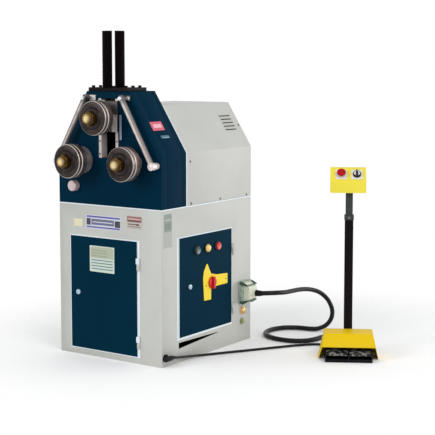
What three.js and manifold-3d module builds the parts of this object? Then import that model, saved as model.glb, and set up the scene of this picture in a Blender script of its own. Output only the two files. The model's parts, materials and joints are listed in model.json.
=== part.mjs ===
// Ring roller: a three-roll section bending machine with its foot pedal and control post.
// Millimetres, +X to the machine's right seen from the front, -Y to the front, +Z up.
// The origin is the centre of the cabinet's footprint, on the floor.
import * as THREE from 'three';
import { mergeVertices } from 'three/addons/utils/BufferGeometryUtils.js';
import Module from 'manifold-3d';

const wasm = await Module();
wasm.setup();

// Fits shared by all pieces
const seatGap = 0.3;
const turnClearance = 0.5;
const cutOverrun = 4;
const sheet = 3;

// Cabinet
const cabinetWidth = 580;
const cabinetDepth = 700;
const cabinetHeight = 688;
const basePlateThickness = 10;
const deckThickness = 10;

// Head and rear casing
const shoulderHeight = 924;
const headHeight = 1192;
const headTopWidth = 240;
const headDepth = 180;
const frontPlateThickness = 40;
const rearPlateThickness = 30;
const casingHeight = 1128;

// Rolls and shafts
const rollPitch = 300;
const lowerRollHeight = 885;
const upperRollHeight = 1078;
const rollRadius = 75;
const frontRingWidth = 28;
const rearRingWidth = 34;
const ringChamfer = 4;
const ringHubRadius = 46;
const ringHubRise = 6;
const noseRadius = 20;
const noseLength = 98;
const journalRadius = 30;
const upperJournalRadius = 25;
const gearSeatRadius = 25;
const collarRadius = 38;
const leftCollarRadius = 60;
const collarLength = 52;
const nutAcrossFlats = 55;
const nutThickness = 22;

// Slide that carries the upper roll
const slideWidth = 80;
const slideBelow = 62;
const slideAbove = 72;
const slideDepth = 150;
const slideTravelDown = 115;
const slideTravelUp = 8;
const keeperOverlap = 17;
const keeperThickness = 8;
const gibWidth = 15;
const spindleRadius = 14;
const spindleTop = 1212;
const spindleSetback = 40;

// Lifting cylinder
const barrelRadius = 48;
const barrelBoreRadius = 40;
const barrelLength = 320;
const barrelTop = 880;
const barrelEnd = 15;
const barrelSetback = 95;
const barrelFlangeWidth = 150;
const barrelFlangeDepth = 70;
const barrelFlangeThickness = 16;
const pistonThickness = 30;
const pistonHeight = 700;
const liftRodRadius = 20;

// Slotted guard tube and its flange
const flangeWidth = 216;
const flangeDepth = 140;
const flangeOverhang = 4;
const flangeThickness = 16;
const flangeBoltRadius = 8;
const flangeBoltHeight = 9;
const flangeBoltInset = 16;
const flangeBoltPitch = 48;
const tubeRadius = 49;
const tubeWall = 5;
const tubeTop = 1455;
const tubeSlotWidth = 12;
const tubeSlotFoot = 6;
const tubeSlotBridge = 10;
const tubeSlotTurn = 39;

// Drive
const gearModule = 6;
const gearTeeth = 34;
const pinionTeeth = 16;
const gearFaceWidth = 34;
const gearGapBehindPlate = 20;
const pressureAngle = 20;
const gearBacklashShare = 0.05;
const pinionShaftRadius = 14;
const pinionShaftLength = 40;
const gearboxSize = 180;
const gearboxDepth = 160;
const gearboxGap = 15;
const gearboxFootWidth = 120;
const motorRadius = 75;
const motorRearGap = 68;

// Hydraulic power unit
const tankWidth = 260;
const tankDepth = 200;
const tankHeight = 170;
const tankSideGap = 80;
const tankRearGap = 60;
const pumpRadius = 62;
const pumpHeight = 230;

// Doors, hinges and latches
const frontDoorLeftInset = 67;
const frontDoorRightInset = 131;
const frontDoorBottom = 30;
const frontDoorDrop = 146;
const sideDoorFrontInset = 122;
const sideDoorRearInset = 166;
const sideDoorBottom = 107;
const sideDoorDrop = 136;
const doorOverlap = 10;
const hingeRadius = 6;
const hingePinRadius = 2.5;
const hingeLeafSetback = 3.75;
const hingeHalfLength = 26;
const hingeLeaf = 7;
const hingeInset = 66;
const latchRadius = 11;
const latchHeadThickness = 6;
const latchStemRadius = 6;
const latchTongueOverlap = 8;
const latchTongueWidth = 14;
const latchTongueThickness = 3;
const frontLatchInset = 46;
const sideLatchInset = 78;
const sideLatchDrop = 226;

// Controls on the side door
const buttonRadius = 17;
const buttonRise = 9;
const buttonStemRadius = 8;
const buttonTravel = 4;
const buttonPitch = 81.5;
const buttonRowDrop = 68;
const buttonRowOffset = 5;
const contactBlockDepth = 30;
const contactBlockHalf = 18;
const switchStandOff = 2.6;
const switchOffset = 42;
const switchDrop = 231;
const switchKnobRadius = 28;
const switchKnobThickness = 8;
const switchGripWidth = 14;
const switchGripRise = 10;
const switchStemRadius = 6;

// Lifting slot under the side door, which narrows to the rear
const liftSlotBottom = 60;
const liftSlotTop = 87;
const liftSlotLength = 303;
const liftSlotEndBottom = 78;
const liftSlotEndTop = 81;

// Side supports of the head
const barRadius = 12;
const barStandOff = 35;
const barTopX = 104;
const barTopHeight = 1163;
const barFootHeight = 877;
const barCollarClearance = 26.61;
const barEyeRadius = 17;
const barPinRadius = 9;
const barBlockWidth = 60;
const barBlockHeight = 24;
const barBlockInnerShare = 0.6;
const barBoltShares = [0.22, 0.6];
const barBoltRadius = 8;
const barBoltHeight = 7;
const pegX = -192;
const pegHeight = 768;
const pegRadius = 24;
const pegLength = 30;

// Multi-pin connector and cable gland on the right side
const connectorRearInset = 69;
const connectorHeight = 238;
const connectorWidth = 76;
const connectorLength = 104;
const connectorBaseRise = 27;
const connectorHoodRise = 32;
const connectorHoodInset = 5;
const connectorHoodChamfer = 20;
const connectorGlandRadius = 15;
const connectorGlandLength = 18;
const pedalCableStart = 0.4;
const cableGlandInset = 21;
const cableGlandHeight = 39;
const cableGlandFlangeRadius = 17;
const cableGlandFlangeThickness = 8;
const cableGlandOffset = 20;
const cableGlandRadius = 11;
const cableGlandLength = 44;

// Foot pedal and control post, in their own turned frame
const pedestalX = 854;
const pedestalY = 290;
const pedestalTurn = 30;
const pedalUnitFront = -113;
const pedalUnitWidth = 209;
const pedalUnitDepth = 150;
const pedalPlateThickness = 6;
const pedalFloor = 5;
const pedalCheek = 5;
const pedalCheekHeight = 46;
const pedalThickness = 8;
const pedalFrontHeight = 37;
const pedalRearHeight = 54;
const pedalPivotSetback = 134;
const pedalPivotRadius = 9;
const pedalHollowGap = 0.8;
const hoodHeight = 115;
const hoodTopHalfWidth = 108;
const hoodFootHalfWidth = 134;
const hoodTopSetback = 60;
const hoodLipSetback = 22;
const hoodLipHeight = 66;
const hoodRearSetback = 170;
const wingFootSetback = 70;
const postSetback = 195;
const postWidth = 38;
const postWall = 2.5;
const postTop = 631;
const postFootHalfWidth = 30;
const postFootRear = 225;
const innerPostWidth = 32;
const innerPostBottom = 380;
const boxBottom = 736;
const boxFold = 787;
const boxTop = 845;
const boxHalfWidth = 80;
const boxOffset = -6;
const boxFrontSetback = 150;
const boxTopSetback = 206;
const boxRearSetback = 238;
const stopButtonU = -37;
const selectorU = 33;
const stopHeadRadius = 20;
const stopHeadRise = 22;
const stopNeckRadius = 12;
const stopNeckRise = 14;
const controlStemRadius = 9;
const controlStemLength = 24;
const stopTravel = 5;
const selectorRadius = 18;
const selectorRise = 12;
const selectorGrip = 9;
const controlPanelShare = 0.5;

// Cables
const pedalCableRadius = 11;
const thinCableRadius = 5.5;
const pedalCableRoute = [
  [368, 281, 238], [379, 281, 238], [391, 282.2, 238.6], [404, 285.7, 239.9], [419, 292, 241],
  [436, 304.5, 241.5], [448.5, 321.5, 241], [456.5, 342.5, 239.5], [460.5, 368, 237], [461.5, 398, 234], [461, 430, 232],
  [460.5, 470, 230], [461, 520, 227], [466, 571.7, 221.5], [476, 621.7, 211], [493, 665.9, 192],
  [514, 695, 161], [529, 703.5, 133], [538, 706.5, 105], [539.5, 703, 78], [533, 695, 52.5],
  [519, 682, 31.5], [500, 666, 18.5], [478, 651, 12.7], [451, 641, 11.7], [418, 635.5, 11.7],
  [379, 624, 11.7], [337, 594.8, 11.7], [312, 548.7, 11.7], [305, 496.8, 11.7], [317, 444.7, 11.7],
  [347, 402.3, 11.7], [392.7, 376, 11.7], [443.6, 363.5, 11.7], [496, 366, 11.7], [542, 386, 11.7],
  [573, 422, 11.7], [585.5, 466, 11.7], [588, 500, 11.7], [593.7, 532.5, 11.7], [610.2, 561.1, 11.7],
  [635.5, 582.3, 11.7], [666.5, 593.6, 11.7], [699.5, 593.6, 11.7], [730.5, 582.3, 11.7],
  [755.8, 561.1, 11.7], [768, 543, 11.7], [795.5, 495, 11.7], [820, 452.6, 13],
];
const pedalCableEndU = 52;
const pedalCableEndHeight = 26;
const thinCableEndU = -86;
const thinCableEndHeight = 18;
const thinCableRoute = [
  [310, -306.7, 39], [310, -299, 39], [309.9, -289, 37.6], [309.5, -274, 34.3], [308.8, -256, 30.8],
  [307.3, -215, 24.6], [306.2, -175, 18.7], [306.5, -140, 13.8], [309.3, -110, 10], [314.6, -85, 7.5], [323.2, -61.5, 6.4],
  [335.9, -39.5, 6.2], [350.8, -15.8, 6.2], [366, 8.5, 6.2], [381.5, 33.3, 6.2], [397.4, 58.6, 6.2],
  [413.4, 84.1, 6.2], [430.2, 110.9, 6.2], [447.6, 138.7, 6.2], [466.5, 168.8, 6.2],
  [488.1, 203.3, 6.2], [511.3, 240.3, 6.2], [548.6, 299, 6.2], [583, 346, 6.2], [609, 376, 6.2],
  [634, 396, 6.3], [660, 402, 7], [684, 394.5, 9], [703, 376, 11],
];

const cableLeadRadii = [5, 2, 1];
const cableLeadDropShare = 1 / 3;

// Places that follow from the sizes above
const frontY = -cabinetDepth / 2;
const rearY = cabinetDepth / 2;
const sideX = cabinetWidth / 2;
const headRearY = frontY + headDepth;
const spindleAxisY = frontY + spindleSetback;
const barrelAxisY = frontY + barrelSetback;
const flangeFrontY = frontY - flangeOverhang;
const barAxisY = frontY - barStandOff;
const connectorY = rearY - connectorRearInset;
const cableGlandY = frontY + cableGlandInset;
const tankX = -sideX + tankSideGap + tankWidth / 2;
const tankY = rearY - tankRearGap - tankDepth / 2;
const frontDoorLeft = -sideX + frontDoorLeftInset;
const frontDoorRight = sideX - frontDoorRightInset;
const frontDoorTop = cabinetHeight - frontDoorDrop;
const sideDoorFront = frontY + sideDoorFrontInset;
const sideDoorRear = rearY - sideDoorRearInset;
const sideDoorTop = cabinetHeight - sideDoorDrop;
const sideDoorCentre = (sideDoorFront + sideDoorRear) / 2;
const frontLatchX = frontDoorLeft + frontLatchInset;
const frontLatchHeight = (frontDoorBottom + frontDoorTop) / 2;
const sideLatchY = sideDoorFront + sideLatchInset;
const sideLatchHeight = sideDoorTop - sideLatchDrop;
const buttonRowY = sideDoorCentre + buttonRowOffset;
const buttonRowHeight = sideDoorTop - buttonRowDrop;
const switchY = sideDoorCentre + switchOffset;
const switchHeight = sideDoorTop - switchDrop;
const frontPlateRearY = frontY + frontPlateThickness;
const rearPlateFrontY = headRearY - rearPlateThickness;
const headBottom = cabinetHeight + seatGap;
const shaftX = rollPitch / 2;
const barLean = Math.atan2(shaftX - barTopX, barTopHeight - lowerRollHeight)
  + Math.asin((leftCollarRadius + barRadius + barCollarClearance)
    / Math.hypot(shaftX - barTopX, barTopHeight - lowerRollHeight));
const barFootX = barTopX + (barTopHeight - barFootHeight) * Math.tan(barLean);
const rollRearY = frontY - collarLength;
const rollFrontY = rollRearY - rearRingWidth - frontRingWidth - seatGap;
const noseEndY = rollRearY - noseLength;

// Solid helpers

function solidOf(geometry) {
  const bare = geometry.index ? geometry.toNonIndexed() : geometry.clone();
  bare.deleteAttribute('normal');
  bare.deleteAttribute('uv');
  const merged = mergeVertices(bare, 1e-4);
  return new wasm.Manifold(new wasm.Mesh({
    numProp: 3,
    vertProperties: new Float32Array(merged.attributes.position.array),
    triVerts: new Uint32Array(merged.index.array),
  }));
}

function geometryOf(solid) {
  const result = solid.getMesh();
  const geometry = new THREE.BufferGeometry();
  geometry.setAttribute('position', new THREE.BufferAttribute(new Float32Array(result.vertProperties), 3));
  geometry.setIndex(new THREE.BufferAttribute(new Uint32Array(result.triVerts), 1));
  geometry.computeVertexNormals();
  return geometry;
}

function join(first, ...others) {
  return others.reduce((whole, piece) => whole.add(piece), first);
}

function cut(first, ...tools) {
  return tools.reduce((whole, tool) => whole.subtract(tool), first);
}

function block(x0, x1, y0, y1, z0, z1) {
  const geometry = new THREE.BoxGeometry(x1 - x0, y1 - y0, z1 - z0);
  geometry.translate((x0 + x1) / 2, (y0 + y1) / 2, (z0 + z1) / 2);
  return solidOf(geometry);
}

// Round bars along one axis, from one place on it to another
function barX(radius, x0, x1, y, z, sides = 24) {
  const geometry = new THREE.CylinderGeometry(radius, radius, x1 - x0, sides);
  geometry.rotateZ(-Math.PI / 2);
  geometry.translate((x0 + x1) / 2, y, z);
  return solidOf(geometry);
}

function barY(radius, y0, y1, x, z, sides = 24) {
  const geometry = new THREE.CylinderGeometry(radius, radius, y1 - y0, sides);
  geometry.translate(x, (y0 + y1) / 2, z);
  return solidOf(geometry);
}

function barZ(radius, z0, z1, x, y, sides = 24) {
  const geometry = new THREE.CylinderGeometry(radius, radius, z1 - z0, sides);
  geometry.rotateX(Math.PI / 2);
  geometry.translate(x, y, (z0 + z1) / 2);
  return solidOf(geometry);
}

// A round bar between two points
function barBetween(radius, start, end, sides = 16) {
  const from = new THREE.Vector3(...start);
  const along = new THREE.Vector3(...end).sub(from);
  const geometry = new THREE.CylinderGeometry(radius, radius, along.length(), sides);
  geometry.translate(0, along.length() / 2, 0);
  geometry.applyQuaternion(new THREE.Quaternion().setFromUnitVectors(
    new THREE.Vector3(0, 1, 0), along.clone().normalize()));
  geometry.translate(from.x, from.y, from.z);
  return solidOf(geometry);
}

function shapeOf(points) {
  return new THREE.Shape(points.map(([x, y]) => new THREE.Vector2(x, y)));
}

// An outline drawn in X and Z, carried along Y
function plateY(points, y0, y1) {
  const geometry = new THREE.ExtrudeGeometry(shapeOf(points), { depth: y1 - y0, bevelEnabled: false });
  geometry.rotateX(Math.PI / 2);
  geometry.translate(0, y1, 0);
  return solidOf(geometry);
}

// An outline drawn in Y and Z, carried along X
function plateX(points, x0, x1) {
  const geometry = new THREE.ExtrudeGeometry(shapeOf(points), { depth: x1 - x0, bevelEnabled: false });
  geometry.rotateX(Math.PI / 2);
  geometry.rotateZ(Math.PI / 2);
  geometry.translate(x0, 0, 0);
  return solidOf(geometry);
}

// A turned piece on an axis along Y; the profile runs towards +Y on its outside
function turnedY(profile, x, z, sides = 40) {
  const points = profile.map(([radius, y]) => new THREE.Vector2(radius, y));
  const geometry = new THREE.LatheGeometry(points, sides);
  geometry.translate(x, 0, z);
  return solidOf(geometry);
}

const group = new THREE.Group();
group.name = 'ring_roller';

function finish(color, roughness, metalness) {
  return { color, roughness, metalness };
}

const looks = {
  cabinet: finish(0xc8c8c3, 0.5, 0.0),
  head: finish(0x0c3445, 0.45, 0.0),
  door: finish(0x0e3a4c, 0.45, 0.0),
  steel: finish(0xb9b4ae, 0.35, 0.9),
  darkSteel: finish(0x5a4f4a, 0.4, 0.85),
  brass: finish(0xc9a54a, 0.35, 0.9),
  black: finish(0x1b1719, 0.5, 0.1),
  blackPlastic: finish(0x202124, 0.55, 0.0),
  chrome: finish(0xd8dadc, 0.15, 1.0),
  yellow: finish(0xf3d11c, 0.45, 0.0),
  red: finish(0xd3181d, 0.35, 0.0),
  green: finish(0x2f9a5b, 0.3, 0.0),
  greyPlastic: finish(0xb4bab6, 0.45, 0.0),
  motor: finish(0x5e6b72, 0.5, 0.3),
  rubber: finish(0x26282b, 0.6, 0.0),
};

function addTo(parent, name, solid, look) {
  const geometry = solid.isBufferGeometry ? solid : geometryOf(solid);
  const material = new THREE.MeshStandardMaterial(looks[look]);
  const mesh = new THREE.Mesh(geometry, material);
  mesh.name = name;
  parent.add(mesh);
}

function add(name, solid, look) {
  addTo(group, name, solid, look);
}

// The outline that head and casing share: upright sides, then a slope to the narrow top

const slopeRun = (cabinetWidth - headTopWidth) / 2;
const slopeRise = headHeight - shoulderHeight;
const slopeLength = Math.hypot(slopeRun, slopeRise);

function slopeX(height, inset) {
  const outer = sideX - (height - shoulderHeight) * slopeRun / slopeRise;
  return outer - inset * slopeLength / slopeRise;
}

function shoulderZ(inset) {
  const reach = inset - inset * slopeLength / slopeRise;
  return shoulderHeight + reach * slopeRise / slopeRun;
}

function bodyOutline(bottom, top) {
  return [
    [-sideX, bottom], [sideX, bottom], [sideX, shoulderHeight],
    [slopeX(top, 0), top], [-slopeX(top, 0), top], [-sideX, shoulderHeight],
  ];
}

function mirrored(points, side) {
  return side > 0 ? points : points.map(([x, z]) => [-x, z]).reverse();
}

// Cabinet

function basePlate() {
  const x = sideX - sheet - seatGap;
  const y = rearY - sheet - seatGap;
  return block(-x, x, -y, y, 0, basePlateThickness);
}

function deck() {
  const x = sideX - sheet - seatGap;
  const y = rearY - sheet - seatGap;
  const plate = block(-x, x, -y, y, cabinetHeight - deckThickness, cabinetHeight);
  const hole = barZ(barrelRadius + turnClearance, cabinetHeight - deckThickness - cutOverrun,
    cabinetHeight + cutOverrun, 0, barrelAxisY, 32);
  return cut(plate, hole);
}

// One hinge: the fixed half with its pin, and the door's half above it.
// The axis stands off the wall by the leaf, and off the door's edge by the same.
function fixedHinge(x, y, z) {
  const barrel = barZ(hingeRadius, z - hingeHalfLength, z, x, y, 16);
  const pin = barZ(hingePinRadius, z - hingeHalfLength, z + hingeHalfLength - sheet, x, y, 12);
  return join(barrel, pin);
}

function doorHinge(x, y, z) {
  const barrel = barZ(hingeRadius, z + seatGap, z + hingeHalfLength, x, y, 16);
  const bore = barZ(hingePinRadius + seatGap, z - cutOverrun, z + hingeHalfLength - sheet + seatGap, x, y, 12);
  return cut(barrel, bore);
}

function hingeHeights(bottom, top) {
  return [bottom + hingeInset, top - hingeInset - hingeInset / 2];
}

const frontHingeX = frontDoorRight + hingeLeaf;
const frontHingeY = frontY - seatGap - hingeLeaf;
const sideHingeX = sideX + seatGap + hingeLeaf;
const sideHingeY = sideDoorRear + hingeLeaf;

function cabinetFront() {
  const panel = block(-sideX, sideX, frontY, frontY + sheet, 0, cabinetHeight);
  const opening = block(frontDoorLeft + doorOverlap, frontDoorRight - doorOverlap, frontY - cutOverrun,
    frontY + sheet + cutOverrun, frontDoorBottom + doorOverlap, frontDoorTop - doorOverlap);
  const hinges = hingeHeights(frontDoorBottom, frontDoorTop).map((z) => {
    const leaf = block(frontHingeX - hingeRadius / 2, frontHingeX + hingeRadius, frontHingeY, frontY + sheet / 2,
      z - hingeHalfLength, z);
    return join(fixedHinge(frontHingeX, frontHingeY, z), leaf);
  });
  return join(cut(panel, opening), ...hinges);
}

function cabinetRight() {
  const panel = block(sideX - sheet, sideX, frontY + sheet + seatGap, rearY - sheet - seatGap, 0, cabinetHeight);
  const opening = block(sideX - sheet - cutOverrun, sideX + cutOverrun, sideDoorFront + doorOverlap,
    sideDoorRear - doorOverlap, sideDoorBottom + doorOverlap, sideDoorTop - doorOverlap);
  const liftSlot = plateX([
    [sideDoorFront, liftSlotBottom], [sideDoorFront + liftSlotLength, liftSlotEndBottom],
    [sideDoorFront + liftSlotLength, liftSlotEndTop], [sideDoorFront, liftSlotTop],
  ], sideX - sheet - cutOverrun, sideX + cutOverrun);
  const hinges = hingeHeights(sideDoorBottom, sideDoorTop).map((z) => {
    const leaf = block(sideX - sheet / 2, sideHingeX, sideHingeY - hingeRadius / 2, sideHingeY + hingeRadius,
      z - hingeHalfLength, z);
    return join(fixedHinge(sideHingeX, sideHingeY, z), leaf);
  });
  return join(cut(panel, opening, liftSlot), ...hinges);
}

function cabinetLeft() {
  return block(-sideX, -sideX + sheet, frontY + sheet + seatGap, rearY - sheet - seatGap, 0, cabinetHeight);
}

function rearPanel() {
  return plateY(bodyOutline(0, casingHeight), rearY - sheet, rearY);
}

// Doors

const frontDoorFace = frontY - seatGap - sheet;
const sideDoorFace = sideX + seatGap + sheet;

function frontDoor() {
  const panel = block(frontDoorLeft, frontDoorRight, frontDoorFace, frontY - seatGap,
    frontDoorBottom, frontDoorTop);
  const latchHole = barY(latchStemRadius + seatGap, frontDoorFace - cutOverrun, frontY + cutOverrun,
    frontLatchX, frontLatchHeight, 20);
  const hinges = hingeHeights(frontDoorBottom, frontDoorTop).map((z) => {
    const leaf = block(frontDoorRight - sheet, frontHingeX - hingeLeafSetback, frontHingeY - hingeRadius / 2,
      frontDoorFace + sheet / 2, z + seatGap, z + hingeHalfLength);
    return join(doorHinge(frontHingeX, frontHingeY, z), leaf);
  });
  return join(cut(panel, latchHole), ...hinges);
}

function frontLatch() {
  const head = barY(latchRadius, frontDoorFace - seatGap - latchHeadThickness, frontDoorFace - seatGap,
    frontLatchX, frontLatchHeight, 24);
  const tongueFront = frontY + sheet + seatGap;
  const reach = frontLatchX - frontDoorLeft - doorOverlap + latchTongueOverlap;
  const stem = barY(latchStemRadius, frontDoorFace - latchHeadThickness / 2, tongueFront + latchTongueThickness,
    frontLatchX, frontLatchHeight, 16);
  const tongue = block(frontLatchX - latchTongueWidth / 2, frontLatchX + latchTongueWidth / 2, tongueFront,
    tongueFront + latchTongueThickness, frontLatchHeight - latchTongueWidth / 2, frontLatchHeight + reach);
  return join(head, stem, tongue);
}

const buttonPlaces = [-buttonPitch, 0, buttonPitch].map((offset) => buttonRowY + offset);

function sideDoor() {
  const panel = block(sideX + seatGap, sideDoorFace, sideDoorFront, sideDoorRear, sideDoorBottom, sideDoorTop);
  const holes = [barX(latchStemRadius + seatGap, sideX - cutOverrun, sideDoorFace + cutOverrun,
    sideLatchY, sideLatchHeight, 20)];
  const blocks = [];
  const blockInner = sideX - contactBlockDepth;
  for (const y of [buttonPlaces[0], buttonPlaces[2]]) {
    blocks.push(block(blockInner, sideX + sheet, y - contactBlockHalf, y + contactBlockHalf,
      buttonRowHeight - contactBlockHalf, buttonRowHeight + contactBlockHalf));
    holes.push(barX(buttonStemRadius + seatGap, blockInner + sheet, sideDoorFace + cutOverrun,
      y, buttonRowHeight, 20));
  }
  blocks.push(block(blockInner, sideX + sheet, switchY - switchKnobRadius, switchY + switchKnobRadius,
    switchHeight - switchKnobRadius, switchHeight + switchKnobRadius));
  holes.push(barX(switchStemRadius + seatGap, blockInner + sheet, sideDoorFace + cutOverrun,
    switchY, switchHeight, 20));
  const hinges = hingeHeights(sideDoorBottom, sideDoorTop).map((z) => {
    const leaf = block(sideDoorFace - sheet / 2, sideHingeX + hingeRadius / 2, sideDoorRear - sheet,
      sideHingeY - hingeLeafSetback, z + seatGap, z + hingeHalfLength);
    return join(doorHinge(sideHingeX, sideHingeY, z), leaf);
  });
  return join(cut(join(panel, ...blocks), ...holes), ...hinges);
}

function sideLatch() {
  const head = barX(latchRadius, sideDoorFace + seatGap, sideDoorFace + seatGap + latchHeadThickness,
    sideLatchY, sideLatchHeight, 24);
  const tongueOuter = sideX - sheet - seatGap;
  const reach = sideLatchY - sideDoorFront - doorOverlap + latchTongueOverlap;
  const stem = barX(latchStemRadius, tongueOuter - latchTongueThickness, sideDoorFace + latchHeadThickness / 2,
    sideLatchY, sideLatchHeight, 16);
  const tongue = block(tongueOuter - latchTongueThickness, tongueOuter, sideLatchY - latchTongueWidth / 2,
    sideLatchY + latchTongueWidth / 2, sideLatchHeight - latchTongueWidth / 2, sideLatchHeight + reach);
  return join(head, stem, tongue);
}

// Controls on the side door: two sprung buttons and the main switch

const buttonFace = sideDoorFace + buttonTravel + seatGap;

function pushButton(y) {
  const cap = barX(buttonRadius, buttonFace, buttonFace + buttonRise, y, buttonRowHeight, 20);
  const stem = barX(buttonStemRadius, sideX - contactBlockDepth / 2, buttonFace + buttonRise / 2, y,
    buttonRowHeight, 16);
  return join(cap, stem);
}

function switchHandle() {
  const x0 = sideDoorFace + switchStandOff;
  const knob = barX(switchKnobRadius, x0, x0 + switchKnobThickness, switchY, switchHeight, 32);
  const grip = block(x0, x0 + switchKnobThickness + switchGripRise, switchY - switchGripWidth / 2,
    switchY + switchGripWidth / 2, switchHeight - switchKnobRadius, switchHeight + switchKnobRadius);
  const stem = barX(switchStemRadius, sideX - contactBlockDepth / 2, x0 + seatGap, switchY, switchHeight, 16);
  return join(knob, grip, stem);
}

// Head: a thick front plate with the slide's slot, a rear plate, and a sheet cover on each side

const slotHalfWidth = slideWidth / 2 + gibWidth + seatGap;
const slotBottom = upperRollHeight - slideBelow - slideTravelDown - sheet;
const slotTop = upperRollHeight + slideAbove + slideTravelUp + sheet;

function headFrontPlate() {
  const plate = plateY(bodyOutline(headBottom, headHeight), frontY, frontPlateRearY);
  const slot = block(-slotHalfWidth, slotHalfWidth, frontY - cutOverrun, frontPlateRearY + cutOverrun,
    slotBottom, slotTop);
  const spindleHole = barZ(spindleRadius + 2 * turnClearance, slotTop - cutOverrun, headHeight + cutOverrun,
    0, spindleAxisY, 24);
  const bores = [-shaftX, shaftX].map((x) => barY(journalRadius + turnClearance, frontY - cutOverrun,
    frontPlateRearY + cutOverrun, x, lowerRollHeight, 40));
  return cut(plate, slot, spindleHole, ...bores);
}

function headRearPlate() {
  const plate = plateY(bodyOutline(headBottom, headHeight), rearPlateFrontY, headRearY);
  const bores = [-shaftX, shaftX].map((x) => barY(journalRadius + turnClearance, rearPlateFrontY - cutOverrun,
    headRearY + cutOverrun, x, lowerRollHeight, 40));
  return cut(plate, ...bores);
}

function headCover(side) {
  const outline = [
    [sideX, headBottom], [sideX, shoulderHeight], [slopeX(headHeight, 0), headHeight],
    [slopeX(headHeight, sheet), headHeight], [sideX - sheet, shoulderZ(sheet)], [sideX - sheet, headBottom],
  ];
  return plateY(mirrored(outline, side), frontPlateRearY + seatGap, rearPlateFrontY - seatGap);
}

function rearCasing(side) {
  const outline = [
    [sideX, headBottom], [sideX, shoulderHeight], [slopeX(casingHeight, 0), casingHeight],
    [seatGap / 2, casingHeight], [seatGap / 2, casingHeight - sheet],
    [slopeX(casingHeight - sheet, sheet), casingHeight - sheet], [sideX - sheet, shoulderZ(sheet)],
    [sideX - sheet, headBottom],
  ];
  return plateY(mirrored(outline, side), headRearY + seatGap, rearY - sheet - seatGap);
}

// Slide with its gib bars, the lifting cylinder below it and the stop spindle above it

const slideBottom = upperRollHeight - slideBelow;
const slideTop = upperRollHeight + slideAbove;
const keeperFrontY = frontY - keeperThickness;

function gib(side) {
  const inner = side * slideWidth / 2;
  const outer = side * (slideWidth / 2 + gibWidth);
  return block(Math.min(inner, outer), Math.max(inner, outer), frontY, frontPlateRearY,
    slotBottom + seatGap, slotTop - seatGap);
}

// The slide's body between two keepers, with the cylinder's rod in its underside
function slideBlock() {
  const half = slideWidth / 2 - seatGap;
  const keeper = slideWidth / 2 + keeperOverlap;
  const slideRearY = keeperFrontY + slideDepth;
  const body = block(-half, half, keeperFrontY, slideRearY, slideBottom, slideTop);
  const frontKeeper = block(-keeper, keeper, keeperFrontY, frontY - seatGap, slideBottom, slideTop);
  const rearKeeper = block(-keeper, keeper, frontPlateRearY + seatGap, slideRearY, slideBottom, slideTop);
  const bore = barY(upperJournalRadius + turnClearance, keeperFrontY - cutOverrun,
    slideRearY - sheet, 0, upperRollHeight, 40);
  const piston = barZ(barrelBoreRadius - turnClearance, pistonHeight, pistonHeight + pistonThickness,
    0, barrelAxisY, 32);
  const rod = barZ(liftRodRadius, pistonHeight, slideBottom + sheet, 0, barrelAxisY, 24);
  return join(cut(join(body, frontKeeper, rearKeeper), bore), piston, rod);
}

function liftCylinder() {
  const bottom = barrelTop - barrelLength;
  const barrel = barZ(barrelRadius, bottom, barrelTop, 0, barrelAxisY, 32);
  const mount = block(-barrelFlangeWidth / 2, barrelFlangeWidth / 2, barrelAxisY - barrelFlangeDepth / 2,
    barrelAxisY + barrelFlangeDepth / 2, headBottom, headBottom + barrelFlangeThickness);
  const bore = barZ(barrelBoreRadius, bottom + barrelEnd, barrelTop - barrelEnd, 0, barrelAxisY, 32);
  const gland = barZ(liftRodRadius + turnClearance, barrelTop - barrelEnd - cutOverrun, barrelTop + cutOverrun,
    0, barrelAxisY, 24);
  return cut(join(barrel, mount), bore, gland);
}

function stopSpindle() {
  return barZ(spindleRadius, slideTop + seatGap, spindleTop, 0, spindleAxisY, 20);
}

// Slotted guard tube on its bolted flange

const flangeBottom = headHeight + seatGap;
const flangeTop = flangeBottom + flangeThickness;

function topFlange() {
  const plate = block(-flangeWidth / 2, flangeWidth / 2, flangeFrontY, flangeFrontY + flangeDepth,
    flangeBottom, flangeTop);
  const hole = barZ(spindleRadius + 2 * turnClearance, flangeBottom - cutOverrun, flangeTop + cutOverrun,
    0, spindleAxisY, 24);
  const bolts = [];
  for (const side of [-1, 1]) {
    for (let row = 0; row < 3; row += 1) {
      bolts.push(barZ(flangeBoltRadius, flangeTop - sheet, flangeTop + flangeBoltHeight,
        side * (flangeWidth / 2 - flangeBoltInset), flangeFrontY + flangeBoltInset + row * flangeBoltPitch, 6));
    }
  }
  return join(cut(plate, hole), ...bolts);
}

function slottedTube() {
  const foot = flangeTop + seatGap;
  const shell = cut(
    barZ(tubeRadius, foot, tubeTop, 0, 0, 40),
    barZ(tubeRadius - tubeWall, foot - cutOverrun, tubeTop + cutOverrun, 0, 0, 40),
  );
  const slots = block(-tubeSlotWidth / 2, tubeSlotWidth / 2, -tubeRadius - cutOverrun, tubeRadius + cutOverrun,
    foot + tubeSlotFoot, tubeTop - tubeSlotBridge);
  const geometry = geometryOf(cut(shell, slots));
  geometry.rotateZ(THREE.MathUtils.degToRad(tubeSlotTurn));
  geometry.translate(0, spindleAxisY, 0);
  return geometry;
}

// Rolls: two ring discs on each shaft's nose, held by a nut

function ringDisc(x, z, y0, y1, hubRise) {
  const bore = noseRadius + seatGap;
  const faceY = y0 + hubRise;
  return turnedY([
    [bore, y0], [ringHubRadius, y0], [ringHubRadius + hubRise / 2, faceY], [rollRadius - ringChamfer, faceY],
    [rollRadius, faceY + ringChamfer], [rollRadius, y1 - ringChamfer], [rollRadius - ringChamfer, y1],
    [bore, y1], [bore, y0],
  ], x, z, 32);
}

function frontRing(x, z) {
  return ringDisc(x, z, rollFrontY, rollFrontY + frontRingWidth, ringHubRise);
}

function rearRing(x, z) {
  return ringDisc(x, z, rollRearY - rearRingWidth, rollRearY, 0);
}

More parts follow.
